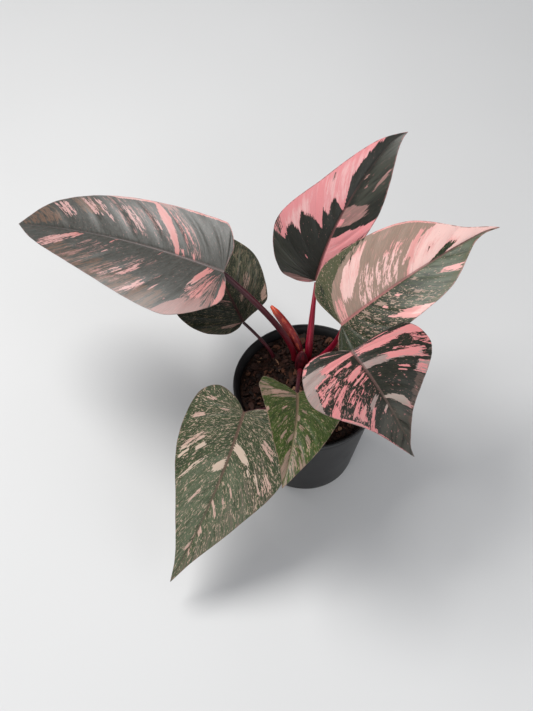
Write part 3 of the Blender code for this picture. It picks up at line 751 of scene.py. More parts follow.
def chip_material():
    """Bark chips, each with its own brown, with grain along it."""
    m = Shader("bark_chips")
    place = m.attribute("grain")
    own = m.colours(m.attribute("own", "Color"))[0]
    fibres = m.noise(m.scaled(place, (260.0, 1300.0, 1300.0)), 1.0, 4.0, 0.6)
    patches = m.noise(place, 380.0)
    tone = m.over((0.009, 0.004, 0.003), (0.040, 0.014, 0.009), own, 0.25, 0.75)
    tone = m.over(tone, (0.10, 0.038, 0.021), own, 0.80, 0.93)
    tone = m.over(tone, (0.22, 0.115, 0.065), own, 0.955, 0.98)
    tone = m.over(tone, m.mix(0.5, tone, (0.10, 0.055, 0.035)), fibres, 0.45, 0.7, 0.55)
    tone = m.over(tone, (0.007, 0.004, 0.003), patches, 0.5, 0.68, 0.6)
    return m.finish(
        Base_Color=tone, Roughness=m.plus(fibres, 0.5, 0.3),
        Normal=m.bump(m.plus(fibres, patches), 0.0006, 0.8), Specular_IOR_Level=0.18,
    )


def fibre_material():
    """Dry brown coir fibres."""
    m = Shader("soil_fibres")
    spots = m.noise(m.attribute("ring"), 300.0)
    tone = m.over((0.035, 0.018, 0.010), (0.16, 0.09, 0.05), spots, 0.35, 0.65)
    return m.finish(
        Base_Color=tone, Roughness=m.plus(spots, 0.6, 0.2), Normal=m.bump(spots, 0.0002),
    )


def pot_material():
    """Black moulded plastic, satin, with fine texture, dust and soil specks near the rim."""
    m = Shader("pot")
    place = m.object_place()
    pits = m.noise(place, 1500.0)
    wide = m.noise(place, 45.0)
    rubs = m.noise(m.scaled(place, (60.0, 60.0, 500.0)), 1.0, 4.0)
    dust = m.noise(place, 700.0, 4.0, 0.7)
    near_rim = m.step(m.parts(place)[2], 0.55 * POT_HEIGHT, POT_HEIGHT)
    tone = m.over((0.009, 0.009, 0.0095), (0.016, 0.016, 0.0165), wide, 0.3, 0.7)
    tone = m.over(tone, (0.045, 0.045, 0.045), rubs, 0.6, 0.78, 0.35)
    tone = m.over(tone, (0.10, 0.07, 0.05), dust, 0.66, 0.72, m.times(near_rim, 0.7))
    return m.finish(
        Base_Color=tone, Roughness=m.plus(wide, 0.30, 0.22),
        Normal=m.bump(m.plus(rubs, pits, 0.6), 0.00008), Specular_IOR_Level=0.34,
    )


# Mesh helpers

def added(name, data):
    """A new object in the scene, from its data."""
    item = bpy.data.objects.new(name, data)
    bpy.context.collection.objects.link(item)
    return item


def mesh_of(name, points, faces):
    mesh = bpy.data.meshes.new(name)
    mesh.from_pydata([tuple(map(float, p)) for p in points], [], faces)
    return mesh


def piece(name, points, faces, material, smooth=True, sharp=40):
    """An object from points and faces, riding on the plant's one body."""
    mesh = mesh_of(name, points, faces)
    mesh.materials.append(material)
    if smooth:
        mesh.shade_smooth()
        mesh.set_sharp_from_angle(angle=math.radians(sharp))
    item = added(name, mesh)
    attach(item, "root")
    return item


def give(item, name, kind, values):
    """Stores one value per point for the item's material to read."""
    data = item.data.attributes.new(name, kind, "POINT")
    key = {"FLOAT": "value", "FLOAT_VECTOR": "vector", "FLOAT_COLOR": "color"}[kind]
    data.data.foreach_set(key, np.asarray(values, np.float32).ravel())


def tidy_mesh(item, weld=0.004 * MM):
    """Joins points that lie on each other and turns the faces outward."""
    shape = bmesh.new()
    shape.from_mesh(item.data)
    bmesh.ops.remove_doubles(shape, verts=shape.verts, dist=weld)
    bmesh.ops.dissolve_degenerate(shape, edges=shape.edges, dist=weld)
    bmesh.ops.recalc_face_normals(shape, faces=shape.faces)
    shape.to_mesh(item.data)
    shape.free()


def unit(vector):
    vector = np.asarray(vector, float)
    return vector / np.linalg.norm(vector)


def turned(profile, sides):
    """Points and faces of an outline (radius, height) turned round Z, from axis to axis."""
    points = []
    rings = []
    for radius, height in profile:
        if radius < 1e-9:
            rings.append([len(points)] * sides)
            points.append((0.0, 0.0, height))
            continue
        start = len(points)
        for k in range(sides):
            angle = 2 * math.pi * k / sides
            points.append((radius * math.cos(angle), radius * math.sin(angle), height))
        rings.append(list(range(start, start + sides)))
    faces = []
    for lower, upper in zip(rings, rings[1:]):
        for k in range(sides):
            n = (k + 1) % sides
            faces.append(tuple(dict.fromkeys((lower[k], lower[n], upper[n], upper[k]))))
    return points, faces


def bent_line(start, turn, end):
    """Steps from 0 to 1, and the curve that leaves start towards turn and bends to end."""
    steps = np.linspace(0, 1, TUBE_STEPS)[:, None]
    return steps[:, 0], (1 - steps) ** 2 * start + 2 * steps * (1 - steps) * turn + steps ** 2 * end


def swept(path, radii, sides, shape=None, reference=(0.31, 0.95, 0.05)):
    """Points and faces of a tube along a path, with each point's share of the path and how
    hollow it lies, and its place in the straightened tube. shape(angle, share) scales the
    radius round the tube, where angle 0 faces along the reference."""
    path = np.asarray(path, float)
    along = np.gradient(path, axis=0)
    along /= np.linalg.norm(along, axis=1)[:, None]
    walked = np.r_[0, np.cumsum(np.linalg.norm(np.diff(path, axis=0), axis=1))]
    share = walked / walked[-1]
    side = np.asarray(reference, float)
    points, way, ring = [], [], []
    for centre, heading, radius, part, far in zip(path, along, radii, share, walked):
        side = side - heading * np.dot(side, heading)
        side /= np.linalg.norm(side)
        other = np.cross(heading, side)
        for k in range(sides):
            angle = 2 * math.pi * k / sides
            scale = shape(angle, part) if shape else 1.0
            reach = radius * scale
            points.append(centre + reach * (math.cos(angle) * side + math.sin(angle) * other))
            hollow = max(0.0, min(1.0, HOLLOW_GAIN * (HOLLOW_STARTS - scale)))
            way.append((part, hollow, 0.0))
            ring.append((radius * math.cos(angle), radius * math.sin(angle), far))
    last = (len(path) - 1) * sides
    faces = [tuple(range(sides))[::-1]]
    for row in range(0, last, sides):
        for k in range(sides):
            n = (k + 1) % sides
            faces.append((row + k, row + n, row + sides + n, row + sides + k))
    faces.append(tuple(range(last, last + sides)))
    return points, faces, way, ring


def tube_piece(name, path, radii, material, shape=None, reference=(0.31, 0.95, 0.05)):
    points, faces, way, ring = swept(path, radii, TUBE_SIDES, shape, reference)
    item = piece(name, points, faces, material)
    give(item, "way", "FLOAT_VECTOR", way)
    give(item, "ring", "FLOAT_VECTOR", ring)
    return item


# Blade shapes

def smooth_curve(points, steps=14):
    """A curve through all the points, with no overshoot at close ones."""
    p = np.asarray(points, float)
    p = np.vstack([2 * p[0] - p[1], p, 2 * p[-1] - p[-2]])
    curve = []
    for i in range(1, len(p) - 2):
        p0, p1, p2, p3 = p[i - 1:i + 3]
        knots = [0.0]
        for a, b in ((p0, p1), (p1, p2), (p2, p3)):
            knots.append(knots[-1] + max(np.linalg.norm(b - a), 1e-9) ** 0.5)
        k0, k1, k2, k3 = knots
        t = np.linspace(k1, k2, steps, endpoint=False)[:, None]
        a1 = (k1 - t) / (k1 - k0) * p0 + (t - k0) / (k1 - k0) * p1
        a2 = (k2 - t) / (k2 - k1) * p1 + (t - k1) / (k2 - k1) * p2
        a3 = (k3 - t) / (k3 - k2) * p2 + (t - k2) / (k3 - k2) * p3
        b1 = (k2 - t) / (k2 - k0) * a1 + (t - k0) / (k2 - k0) * a2
        b2 = (k3 - t) / (k3 - k1) * a2 + (t - k1) / (k3 - k1) * a3
        curve.append((k2 - t) / (k2 - k1) * b1 + (t - k1) / (k2 - k1) * b2)
    curve.append(p[-2][None])
    return np.vstack(curve)


def half_outline(length, half):
    """One half of a heart-shaped outline from the sinus round the lobe to the tip."""
    back, lobe, shoulder_at, shoulder, widest_at, width, middle, near_tip = half
    points = [
        (0, 0), (-0.62 * back, 0.36 * lobe), (-back, lobe), (shoulder_at, shoulder),
        (widest_at, width), (0.6 * length, middle), (0.86 * length, near_tip), (length, 0),
    ]
    return smooth_curve(points) * MM


def leaf_axes(leaf):
    """Directions at the base of a blade: along the midrib, to its left, and out of its top."""
    heading, rise, roll = (math.radians(leaf[k]) for k in ("heading", "rise", "roll"))
    along = np.array((
        math.cos(heading) * math.cos(rise), math.sin(heading) * math.cos(rise), math.sin(rise),
    ))
    level = np.array((-math.sin(heading), math.cos(heading), 0.0))
    upright = np.cross(along, level)
    left = level * math.cos(roll) + upright * math.sin(roll)
    top = upright * math.cos(roll) - level * math.sin(roll)
    return along, left, top


def blade_surface(leaf, u, v):
    """Places and top directions of the blade u along its midrib and v to its left."""
    along, left, top = leaf_axes(leaf)
    length = leaf["length"] * MM
    width = max(leaf["left_half"][5], leaf["right_half"][5]) * MM
    turn = math.radians(leaf["bend"]) / length
    droop = math.radians(leaf["droop"]) / (0.2 * length)
    curl = np.where(u > 0, turn, droop)
    angle = curl * u
    forward = np.sin(angle) / curl
    down = (1 - np.cos(angle)) / curl
    aside = np.where(u > 0, leaf["sweep"] * MM * (u / length) ** 2, 0)
    hooked = np.clip((u / length - HOOK_STARTS) / (1 - HOOK_STARTS), 0, 1)
    aside = aside + leaf["hook"] * MM * hooked ** 2
    fold = math.radians(leaf["fold"])
    arch = math.radians(leaf["arch"]) / width
    slope = fold - arch * abs(v)
    across = np.sign(v) * (math.sin(fold) - np.sin(slope)) / arch
    lift = (np.cos(slope) - math.cos(fold)) / arch
    lean = np.cos(angle)[..., None] * top + np.sin(angle)[..., None] * along
    place = (
        np.array(leaf["base"]) * MM + forward[..., None] * along - down[..., None] * top
        + (aside + across)[..., None] * left + lift[..., None] * lean
    )
    tilt = (np.sign(v) * np.sin(slope))[..., None]
    facing = lean * np.cos(slope)[..., None] - tilt * left
    return place, facing / np.linalg.norm(facing, axis=-1, keepdims=True)


def grid_shares():
    """Row shares along the outline and column shares from the midrib to the margin."""
    rows = np.linspace(0, 1, BLADE_ROWS + 1)[:, None]
    by_rib = (0.0, 0.006, 0.013, 0.021, 0.031, 0.044, 0.06)
    by_margin = (0.982, 0.993, 1.0)
    between = np.linspace(0.08, 0.965, BLADE_COLUMNS - len(by_rib) - len(by_margin))
    return rows, np.r_[by_rib, between, by_margin][None]


def half_grid(leaf, side):
    """Grid of (u, v) on one half: rows follow the veins, columns run from midrib to margin."""
    length = leaf["length"] * MM
    outline = half_outline(leaf["length"], leaf["left_half" if side > 0 else "right_half"])
    walked = np.r_[0, np.cumsum(np.linalg.norm(np.diff(outline, axis=0), axis=1))]
    share, t = grid_shares()
    end_u = np.interp(share[:, 0] * walked[-1], walked, outline[:, 0])[:, None]
    end_v = np.interp(share[:, 0] * walked[-1], walked, outline[:, 1])[:, None]
    start = length * np.clip((share - BASE_FAN) / (1 - BASE_FAN), 0, 1) ** leaf["spread"]
    middle = (1 - VEIN_LEAN) * start + VEIN_LEAN * end_u
    u = (1 - t) ** 2 * start + 2 * t * (1 - t) * middle + t * t * end_u
    v = 2 * t * (1 - t) * VEIN_BOW * end_v + t * t * end_v
    return u, side * v, outline


def edge_distance(u, v, outline):
    """How far each point of a half lies from the margin."""
    flat = np.stack([u.ravel(), abs(v).ravel()], 1)
    nearest = np.full(len(flat), 1.0)
    for a, b in zip(outline[:-1], outline[1:]):
        line = b - a
        along = np.clip(((flat - a) @ line) / max(line @ line, 1e-12), 0, 1)
        nearest = np.minimum(nearest, np.linalg.norm(flat - a - along[:, None] * line, axis=1))
    return nearest.reshape(u.shape)


def read_marks(lines):
    """The markings of one half from its lines: tone, fill, whether it has teeth, stations."""
    marks = []
    for line in lines.replace(",\n", ",").strip().splitlines():
        head, *stations = line.split(",")
        tone, fill, *teeth = head.split()
        stations = [tuple(map(float, station.split())) for station in stations]
        if len(stations) == 1:
            low, high, near, far = stations[0]
            stations = [(low, high, near), (low, high, far)]
        marks.append((tone, float(fill), bool(teeth), stations))
    return marks


def painted(marks, share, t, row_step, vein_reach):
    """Amounts of each tone on one half, 0.5 on a patch's edge."""
    fields = {tone: np.zeros(share.shape) for tone in TONES}
    percent = 100 * share
    for tone, fill, teeth, stations in marks:
        if teeth:
            at, starts, ends = zip(*stations)
            inner = np.interp(percent, at, starts)
            outer = np.interp(percent, at, ends)
            begins = np.where(inner > 0.02, (t - inner) * vein_reach, TOOTH_FEATHER)
            along = np.minimum(begins, (outer - t) * vein_reach) / TOOTH_FEATHER
            across = np.minimum(percent - at[0], at[-1] - percent) * row_step / ACROSS_FEATHER
        else:
            lows, highs, at = zip(*sorted(stations, key=lambda station: station[2]))
            low = np.interp(t, at, lows)
            high = np.interp(t, at, highs)
            half_width = np.maximum(0.5 * (high - low), 0.05) * row_step
            inside = np.minimum(percent - low, high - percent) * row_step
            feather = SOFT_FEATHER if tone in SOFT_TONES else ACROSS_FEATHER
            across = inside / np.minimum(feather, 0.8 * half_width + 1e-6)
            begins = np.where(at[0] > 0.02, (t - at[0]) * vein_reach, ALONG_FEATHER)
            stops = np.where(at[-1] < 0.99, (at[-1] - t) * vein_reach, ALONG_FEATHER)
            reach = min(ALONG_FEATHER, 0.35 * (at[-1] - at[0]) * float(vein_reach.max()) + 1e-6)
            along = np.minimum(begins, stops) / reach
        amount = np.clip(0.5 + 0.5 * np.minimum(across, along), 0, 1)
        if tone == "dark":
            for key in ("pink", "muted", "pale", "tan"):
                fields[key] = np.minimum(fields[key], 1 - fill * amount)
            continue
        amount = np.minimum(amount, fill)
        if tone == "muted":
            fields["pink"] = np.minimum(fields["pink"], np.where(amount > 0.5, 1 - amount, 1))
        fields[tone] = np.maximum(fields[tone], amount)
    return fields


def ridge(away, width):
    """1 on a line, falling to 0 within about twice the width on either side."""
    return np.exp(-(away / width) ** 2)


def blade_layers(leaf, half, side):
    """Top and underside grids of one half, and what its material reads by name."""
    u, v, outline = half_grid(leaf, side)
    place, facing = blade_surface(leaf, u, v)
    share, t = np.broadcast_arrays(*grid_shares())
    step = np.linalg.norm(np.gradient(place, axis=0), axis=2) * BLADE_ROWS / 100 / MM
    step = np.maximum(step, LEAST_STEP)
    reach = np.linalg.norm(place[:, -1] - place[:, 0], axis=1)[:, None] / MM
    reach = np.maximum(reach, LEAST_REACH)
    edge = edge_distance(u, v, outline)
    vein_at = VEIN_PAIRS * share - 0.5
    from_vein = abs(vein_at - np.round(vein_at))
    within = np.clip((share - 0.02) / 0.05, 0, 1) * np.clip((0.98 - share) / 0.08, 0, 1)
    valley = 1 - VALLEY_DEPTH * ridge(from_vein, VALLEY_WIDTH)
    quilt = QUILT_DEPTH * within * np.sin(math.pi * t) * valley
    tip_fade = np.clip((leaf["length"] * MM - u) / RIB_TAPER, 0, 1)
    quick, slow = WAVE_TURNS
    wave = np.sin(share * quick + 2.3 * side) * np.sin(share * slow + leaf["length"])
    wave = WAVE_HEIGHT * t ** 3 * wave * tip_fade
    groove_width = GROOVE_HALF_WIDTH * (0.35 + 0.65 * tip_fade)
    groove = GROOVE_DEPTH * ridge(v, groove_width) * np.clip(u / RIB_LEAD, 0, 1) * tip_fade
    rib = np.clip((u - RIB_STARTS) / RIB_LEAD, 0, 1) * tip_fade
    rib_width = RIB_HALF_WIDTH * (0.4 + 0.6 * tip_fade)
    rib_depth = RIB_DEPTH * rib * np.sqrt(np.clip(1 - (v / rib_width) ** 2, 0, 1))
    inner = np.clip(edge / MARGIN_WIDTH, 0, 1)
    thin = MARGIN_THICKNESS + (BLADE_THICKNESS - MARGIN_THICKNESS) * inner
    side_vein = SIDE_VEIN_DEPTH * within * (1 - t) * ridge(from_vein, SIDE_VEIN_WIDTH)
    upper = place + (quilt + wave - groove)[..., None] * facing
    lower = place + (0.6 * quilt + wave - thin - rib_depth - side_vein)[..., None] * facing
    fields = painted(read_marks(half), share, t, step, reach)
    walked = float(np.linalg.norm(np.diff(outline, axis=0), axis=1).sum()) / MM
    return upper, lower, {
        "grain": np.stack([share * walked, t * reach, np.full(u.shape, 9.0 * side)], -1),
        "place": np.stack([u / MM, v / MM, edge / MM], -1),
        "marks": np.stack([fields[key] for key in TONES[:4]], -1),
        "vein": from_vein / VEIN_PAIRS * 100 * step / np.clip(1 - 0.7 * t, 0.3, 1),
        "tan": fields["tan"], "specks": fields["specks"],
    }


def make_blade(name, leaf, material):
    """One blade: a top, an underside with the ribs standing proud, and a thin margin."""
    points, faces = [], []
    read = {"under": []}
    for side, half in ((1, "left"), (-1, "right")):
        upper, lower, layers = blade_layers(leaf, MARKS[name][half], side)
        high, wide = upper.shape[:2]
        first = len(points)
        below = high * wide
        points += list(upper.reshape(-1, 3)) + list(lower.reshape(-1, 3))
        for key, values in layers.items():
            read.setdefault(key, []).extend([values.reshape(below, -1)] * 2)
        read["under"] += [np.zeros((below, 1)), np.ones((below, 1))]
        for i in range(high - 1):
            row = first + i * wide
            for a in range(row, row + wide - 1):
                loop = (a, a + 1, a + 1 + wide, a + wide)
                faces.append(loop[::side])
                faces.append(tuple(k + below for k in loop[::-side]))
            a = row + wide - 1
            faces.append((a, a + below, a + wide + below, a + wide)[::side])
    item = piece("blade_" + name, points, faces, material)
    kinds = {"grain": "FLOAT_VECTOR", "place": "FLOAT_VECTOR", "marks": "FLOAT_COLOR"}
    for key, values in read.items():
        give(item, key, kinds.get(key, "FLOAT"), np.vstack(values))
    tidy_mesh(item)
    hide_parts("leaf_" + name)


# Stalks

def clasp_point(bearing, radius):
    """Where a stalk of this radius stands against the stem."""
    reach = STEM_RADIUS + GAP + radius * MM
    return np.array((
        STEM_X + reach * math.cos(bearing), STEM_Y + reach * math.sin(bearing), CLASP_HEIGHT,
    ))


def radii_along(steps, radii):
    return np.interp(steps, np.linspace(0, 1, len(radii)), radii) * MM


def petiole_path(name, petiole):
    """Middle line and radii of a petiole, finely stepped, along the solid's own line."""
    leaf = LEAVES[name]
    along, _, top = leaf_axes(leaf)
    end = np.array(leaf["base"]) * MM
    if "bearing" in petiole:
        angle = math.radians(petiole["bearing"])
        start = clasp_point(angle, max(petiole["radii"][:2]))
        lean = math.radians(petiole.get("lean", 0))
        rising = np.array((
            math.cos(angle) * math.sin(lean), math.sin(angle) * math.sin(lean), math.cos(lean),
        ))
        lead = []
    else:
        start = np.array((*petiole["ground"], (SOIL_LEVEL + SOIL_RELIEF) / MM)) * MM
        rising = unit(unit(end - start) * (1, 1, 0) * ROOT_LEAN + (0, 0, 1))
        lead = [start - rising * ROOT_DEPTH * k for k in ROOT_STEPS]
    turn = start + rising * petiole["rise"] * MM
    if petiole.get("joins_in_sinus"):
        end -= SINUS_GAP * along + 0.5 * BLADE_THICKNESS * top
    else:
        tilt = np.dot(unit(end - turn), top)
        reach_up = petiole["radii"][-1] * MM * math.sqrt(1 - tilt ** 2)
        end += PETIOLE_REACH * along - (BLADE_THICKNESS + JOIN_GAP + reach_up) * top
    steps, arc = bent_line(start, turn, end)
    radii = radii_along(steps, petiole["radii"])
    return np.vstack([*lead, arc]), np.r_[[radii[0]] * len(lead), radii]


def grooved(angle, share):
    """A stalk with a shallow groove up its inner side that closes towards the blade."""
    turn = (angle + math.pi) % (2 * math.pi) - math.pi
    depth = 0.17 * min(1.0, 6 * share) * (1 - 0.6 * share)
    ripple = 0.012 * math.cos(7 * angle + 3 * share)
    return 1 - depth * math.exp(-(turn / 0.42) ** 2) + ripple - 0.012


def furled(angle, share):
    """A rolled sheath: two overlapping edges make a seam that winds slowly round it."""
    turn = (angle - 1.2 + 0.9 * share + math.pi) % (2 * math.pi) - math.pi
    seam = 0.10 * math.exp(-(turn / 0.20) ** 2) * math.sin(math.pi * min(1, 0.1 + share))
    return 1 - seam - 0.03 * (1 + math.sin(2 * angle + 2 * share)) / 2


def scarred(angle, share):
    """A stem ringed by old leaf scars."""
    return 1 - 0.03 * (1 + math.sin(26 * share + 0.6 * math.sin(angle))) / 2


def make_stalks():
    crimson = petiole_material(
        "petiole", (0.13, 0.002, 0.010), (0.20, 0.003, 0.018), (0.23, 0.010, 0.026),
        (0.42, 0.014, 0.045),
    )
    dusky = petiole_material(
        "petiole_dusky", (0.17, 0.004, 0.013), (0.060, 0.006, 0.011), (0.035, 0.010, 0.014),
        (0.12, 0.022, 0.032),
    )
    for name, petiole in PETIOLES.items():
        path, radii = petiole_path(name, petiole)
        inward = np.array((STEM_X, STEM_Y, CLASP_HEIGHT)) - path[-1]
        reference = np.array((inward[0], inward[1], 0.02)) + (0, 0, 0.08)
        material = dusky if name in DUSKY_STALKS else crimson
        item = tube_piece("stalk_" + name, path, radii, material, grooved, -reference)
        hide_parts("petiole_" + name)

    start = clasp_point(math.radians(SHEATH_BEARING), SHEATH_RADII[1])
    steps, path = bent_line(start, start + (0, 0, SHEATH_RISE), np.array(SHEATH_TIP))
    radii = radii_along(steps, SHEATH_RADII)
    furl = tube_piece("furled_leaf", path, radii, sheath_material(), furled)
    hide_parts("new_leaf_sheath")

    foot, crown = stem_low.z, stem_high.z
    heights = np.linspace(foot, crown, STEM_RINGS)
    below = (crown - heights) / STEM_TAPER
    radii = STEM_RADIUS * np.interp(below, STEM_BELOW, STEM_WIDTHS)
    path = [(STEM_X, STEM_Y, height) for height in heights]
    stalk = tube_piece("short_stem", path, radii, stem_material(), scarred)
    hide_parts("stem")


# Pot and compost

def pot_outer_radius(height):
    """Radius of the pot's plain wall below the rim band."""
    wall_top = POT_RIM_RADIUS - POT_BAND_STEP - POT_WALL_INSET
    return POT_BASE_RADIUS + (wall_top - POT_BASE_RADIUS) * height / POT_HEIGHT


def pot_inner_radius(height):
    return pot_outer_radius(height) - POT_WALL


def make_pot():
    band_foot = POT_HEIGHT - POT_BAND_HEIGHT
    wall_at_band = pot_outer_radius(band_foot)
    lip_centre = POT_RIM_RADIUS - POT_LIP_RADIUS
    lip_height = POT_HEIGHT - POT_LIP_RADIUS
    profile = [(0, 0), (POT_BASE_RADIUS - 4 * MM, 0)]
    for step in range(5):
        angle = math.radians(-90 + 22.5 * step)
        profile.append((
            POT_BASE_RADIUS + POT_FOOT_ROUND * (math.cos(angle) - 1),
            POT_FOOT_ROUND * (math.sin(angle) + 1),
        ))
    for height in np.linspace(4 * MM, band_foot - 1 * MM, 9):
        profile.append((pot_outer_radius(height), height))
    profile += [
        (wall_at_band, band_foot), (wall_at_band + 0.3 * MM, band_foot + 0.25 * MM),
        (wall_at_band + 0.7 * POT_BAND_STEP, band_foot + 0.5 * MM),
        (wall_at_band + POT_BAND_STEP, band_foot + 0.9 * MM),
        (wall_at_band + POT_BAND_STEP, band_foot + 4 * MM),
    ]
    for step in range(15):
        angle = math.radians(-30 + 15 * step)
        profile.append((
            lip_centre + POT_LIP_RADIUS * math.cos(angle),
            lip_height + POT_LIP_RADIUS * math.sin(angle),
        ))
    profile += [
        (pot_inner_radius(POT_HEIGHT - POT_LIP_DEPTH), POT_HEIGHT - POT_LIP_DEPTH),
        (pot_inner_radius(0.5 * POT_HEIGHT), 0.5 * POT_HEIGHT),
        (pot_inner_radius(POT_FLOOR), POT_FLOOR), (0, POT_FLOOR),
    ]
    points, faces = turned(profile, POT_SIDES)
    pot = piece("nursery_pot", points, faces, pot_material())
    tidy_mesh(pot)
    cutter_points, cutter_faces = [], []
    for k in range(DRAIN_COUNT):
        angle = 2 * math.pi * (k + 0.5) / DRAIN_COUNT
        centre = np.array((math.cos(angle), math.sin(angle), 0)) * DRAIN_RING_RADIUS
        path = [centre + (0, 0, -DRAIN_MARGIN), centre + (0, 0, POT_FLOOR + DRAIN_MARGIN)]
        plug, plug_faces = swept(path, [DRAIN_RADIUS] * 2, DRAIN_SIDES)[:2]
        cutter_faces += [tuple(i + len(cutter_points) for i in face) for face in plug_faces]
        cutter_points += plug
    cutter = added("drains", mesh_of("drains", cutter_points, cutter_faces))
    tidy_mesh(cutter)
    cut = pot.modifiers.new("drains", "BOOLEAN")
    cut.operation = "DIFFERENCE"
    cut.solver = "EXACT"
    cut.object = cutter
    graph = bpy.context.evaluated_depsgraph_get()
    shaped = bpy.data.meshes.new_from_object(pot.evaluated_get(graph))
    pot.modifiers.clear()
    pot.data = shaped
    bpy.data.objects.remove(cutter, do_unlink=True)
    pot.data.shade_smooth()
    pot.data.set_sharp_from_angle(angle=math.radians(35))
    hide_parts("pot")


def soil_height(x, y):
    """Height of the compost: domed bark chips."""
    place = Vector((x, y, 0.37 * SOIL_CHIP_SIZE)) / SOIL_CHIP_SIZE
    nearest = noise.voronoi(place, distance_metric="DISTANCE")[0][0]
    tilt = noise.noise(place * 0.9)
    return SOIL_LEVEL + SOIL_RELIEF * (0.55 - 0.75 * nearest + 0.35 * tilt)


def crumb_height(x, y):
    """Small crumbs on the compost."""
    place = Vector((x, y, 0.2)) / CRUMB_SIZE
    return CRUMB_RELIEF * noise.fractal(place, 1.0, 2.1, 3)


def make_soil():
    foot = soil_low.z
    edge_height = SOIL_LEVEL - SOIL_EDGE_DROP
    edge_radius = pot_inner_radius(edge_height) - GAP
    profile = [(0, foot), (pot_inner_radius(foot) - GAP, foot), (edge_radius, edge_height)]
    for ring in range(1, SOIL_RINGS + 1):
        profile.append((edge_radius * (1 - ring / SOIL_RINGS), SOIL_LEVEL))
    points, faces = turned(profile, SOIL_SIDES)
    shaped = []
    for x, y, z in points:
        if z == SOIL_LEVEL:
            inner = min(1.0, (edge_radius - math.hypot(x, y)) / SOIL_EDGE_WIDTH)
            z = soil_height(x, y) * inner + edge_height * (1 - inner) + inner * crumb_height(x, y)
        shaped.append((x, y, z))
    soil = piece("compost", shaped, faces, soil_material(), sharp=60)
    tidy_mesh(soil)
    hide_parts("soil")
    return edge_radius


def make_chips(edge_radius, rng):
    """Angular bark chips lying in the compost, in one piece."""
    points, faces, own, grain = [], [], [], []
    corners = [(x, y, z) for z in (-1, 1) for x, y in CHIP_OUTLINE]
    around = len(CHIP_OUTLINE)
    sides = [(k, (k + 1) % around, around + (k + 1) % around, around + k) for k in range(around)]
    for index in range(CHIP_COUNT):
        far = edge_radius * math.sqrt(rng.uniform(0.0, 0.93))
        angle = rng.uniform(0, 2 * math.pi)
        x, y = far * math.cos(angle), far * math.sin(angle)
        length = rng.choice(CHIP_SIZES, p=CHIP_SHARES) * rng.uniform(0.8, 1.2)
        width = length * rng.uniform(0.4, 0.85)
        thick = rng.uniform(0.5, 1.1) * min(1.3, 0.35 + 0.28 * length)
        if far + length * MM > edge_radius - 1 * MM:
            far = edge_radius - (length + 1) * MM
            x, y = far * math.cos(angle), far * math.sin(angle)
        turn = rng.uniform(0, math.pi)
        lean = rng.normal(0, CHIP_TILT, 2)
        first = len(points)
        c, s = math.cos(turn), math.sin(turn)
        level = soil_height(x, y) + rng.uniform(-0.1, 1.3) * MM
        for cx, cy, cz in corners:
            jitter = 1 + rng.uniform(-0.22, 0.22)
            px = cx * length * jitter * (0.88 if cz > 0 else 1)
            py = cy * width * jitter * (0.88 if cz > 0 else 1)
            pz = cz * thick * (1 + rng.uniform(-0.3, 0.3)) + px * lean[0] + py * lean[1]
            points.append((x + (c * px - s * py) * MM, y + (s * px + c * py) * MM, level + pz * MM))
            grain.append((px * MM + index, py * MM, pz * MM))
        shade = rng.uniform()
        own += [(shade, rng.uniform(), 0, 1)] * len(corners)
        faces.append(tuple(first + k for k in range(around))[::-1])
        faces.append(tuple(first + around + k for k in range(around)))
        faces += [tuple(first + k for k in side) for side in sides]
    chips = piece("bark_chips", points, faces, chip_material(), smooth=False)
    give(chips, "own", "FLOAT_COLOR", own)
    give(chips, "grain", "FLOAT_VECTOR", grain)
    bevel = chips.modifiers.new("worn_edges", "BEVEL")
    bevel.width = CHIP_BEVEL
    bevel.segments = 1


def make_fibres(edge_radius, rng):
    """Thin coir fibres curling over the compost, in one piece."""
    points, faces, ring = [], [], []
    for _ in range(FIBRE_COUNT):
        far = edge_radius * math.sqrt(rng.uniform(0.0, 0.8))
        angle = rng.uniform(0, 2 * math.pi)
        x, y = far * math.cos(angle), far * math.sin(angle)
        heading = rng.uniform(0, 2 * math.pi)
        curl = rng.normal(0, 0.18)
        path = []
        for k in range(9):
            level = soil_height(x, y) + (0.5 + 0.5 * math.sin(k)) * MM
            path.append((x, y, level))
            heading += curl
            x += rng.uniform(0.9, 1.3) * MM * math.cos(heading)
            y += rng.uniform(0.9, 1.3) * MM * math.sin(heading)
            if math.hypot(x, y) > edge_radius - 1 * MM:
                break
        if len(path) < 4:
            continue
        thick = rng.uniform(0.12, 0.26) * MM
        tube, tube_faces, _, tube_ring = swept(path, [thick] * len(path), 6)
        faces += [tuple(i + len(points) for i in face) for face in tube_faces]
        points += tube
        ring += tube_ring
    fibres = piece("soil_fibres", points, faces, fibre_material())
    give(fibres, "ring", "FLOAT_VECTOR", ring)


# Stage

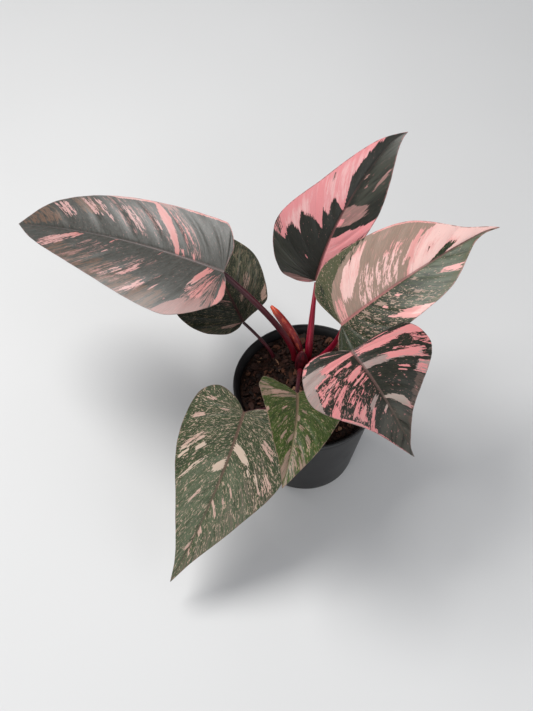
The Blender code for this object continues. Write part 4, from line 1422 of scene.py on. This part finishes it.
FLOOR_REACH = 4.0
LIT_POINT = Vector((0.0, 0.03, 0.15))
LIGHTS = {
    "key": ((-0.55, 0.35, 1.25), 0.7, 16.0, (1.0, 0.99, 0.97)),
    "fill": ((0.9, -0.7, 0.9), 1.0, 5.0, (0.97, 0.98, 1.0)),
    "front": ((-0.5, -1.0, 0.7), 1.0, 4.0, (1.0, 1.0, 1.0)),
}
CAMERA_PLACE = (-0.0332, -0.44404, 0.75329)
CAMERA_PITCH = 54.2
CAMERA_LENS = 50.0
SENSOR = 36.0


def make_floor():
    m = Shader("floor")
    cloudy = m.noise(m.object_place(), 3.0, 2.0)
    tone = m.mix(cloudy, (0.60, 0.60, 0.60), (0.66, 0.66, 0.66))
    signs = ((-1, -1), (1, -1), (1, 1), (-1, 1))
    corners = [(x * FLOOR_REACH, y * FLOOR_REACH, 0) for x, y in signs]
    mesh = mesh_of("floor", corners, [(0, 1, 2, 3)])
    mesh.materials.append(m.finish(Base_Color=tone, Roughness=m.plus(cloudy, 0.6, 0.05)))
    floor = added("floor", mesh)


def make_light(name, place, size, power, colour):
    lamp = bpy.data.lights.new(name, "AREA")
    lamp.shape = "DISK"
    lamp.size = size
    lamp.energy = power
    lamp.color = colour
    item = added(name, lamp)
    item.location = place
    item.rotation_euler = (LIT_POINT - Vector(place)).to_track_quat("-Z", "Y").to_euler()


def make_camera():
    lens = bpy.data.cameras.new("camera")
    lens.lens = CAMERA_LENS
    lens.sensor_width = SENSOR
    lens.sensor_height = SENSOR
    lens.sensor_fit = "VERTICAL"
    lens.clip_start = 0.01
    item = added("camera", lens)
    item.location = CAMERA_PLACE
    item.rotation_euler = (math.radians(90 - CAMERA_PITCH), 0, 0)
    bpy.context.scene.camera = item


def make_world():
    world = bpy.data.worlds.new("studio")
    bpy.context.scene.world = world
    world.use_nodes = True
    backdrop = world.node_tree.nodes["Background"]
    backdrop.inputs["Color"].default_value = (0.92, 0.95, 1.0, 1.0)
    backdrop.inputs["Strength"].default_value = 0.35


make_camera()
make_world()
make_floor()
for light_name, light in LIGHTS.items():
    make_light(light_name, *light)
bpy.context.scene.view_settings.view_transform = "Standard"

make_pot()
soil_edge = make_soil()
draws = np.random.default_rng(11)
make_chips(soil_edge, draws)
make_fibres(soil_edge, draws)
make_stalks()
for order, (leaf_name, shape) in enumerate(LEAVES.items()):
    make_blade(leaf_name, shape, leaf_material(leaf_name, PALETTES[leaf_name], 13.7 * order))
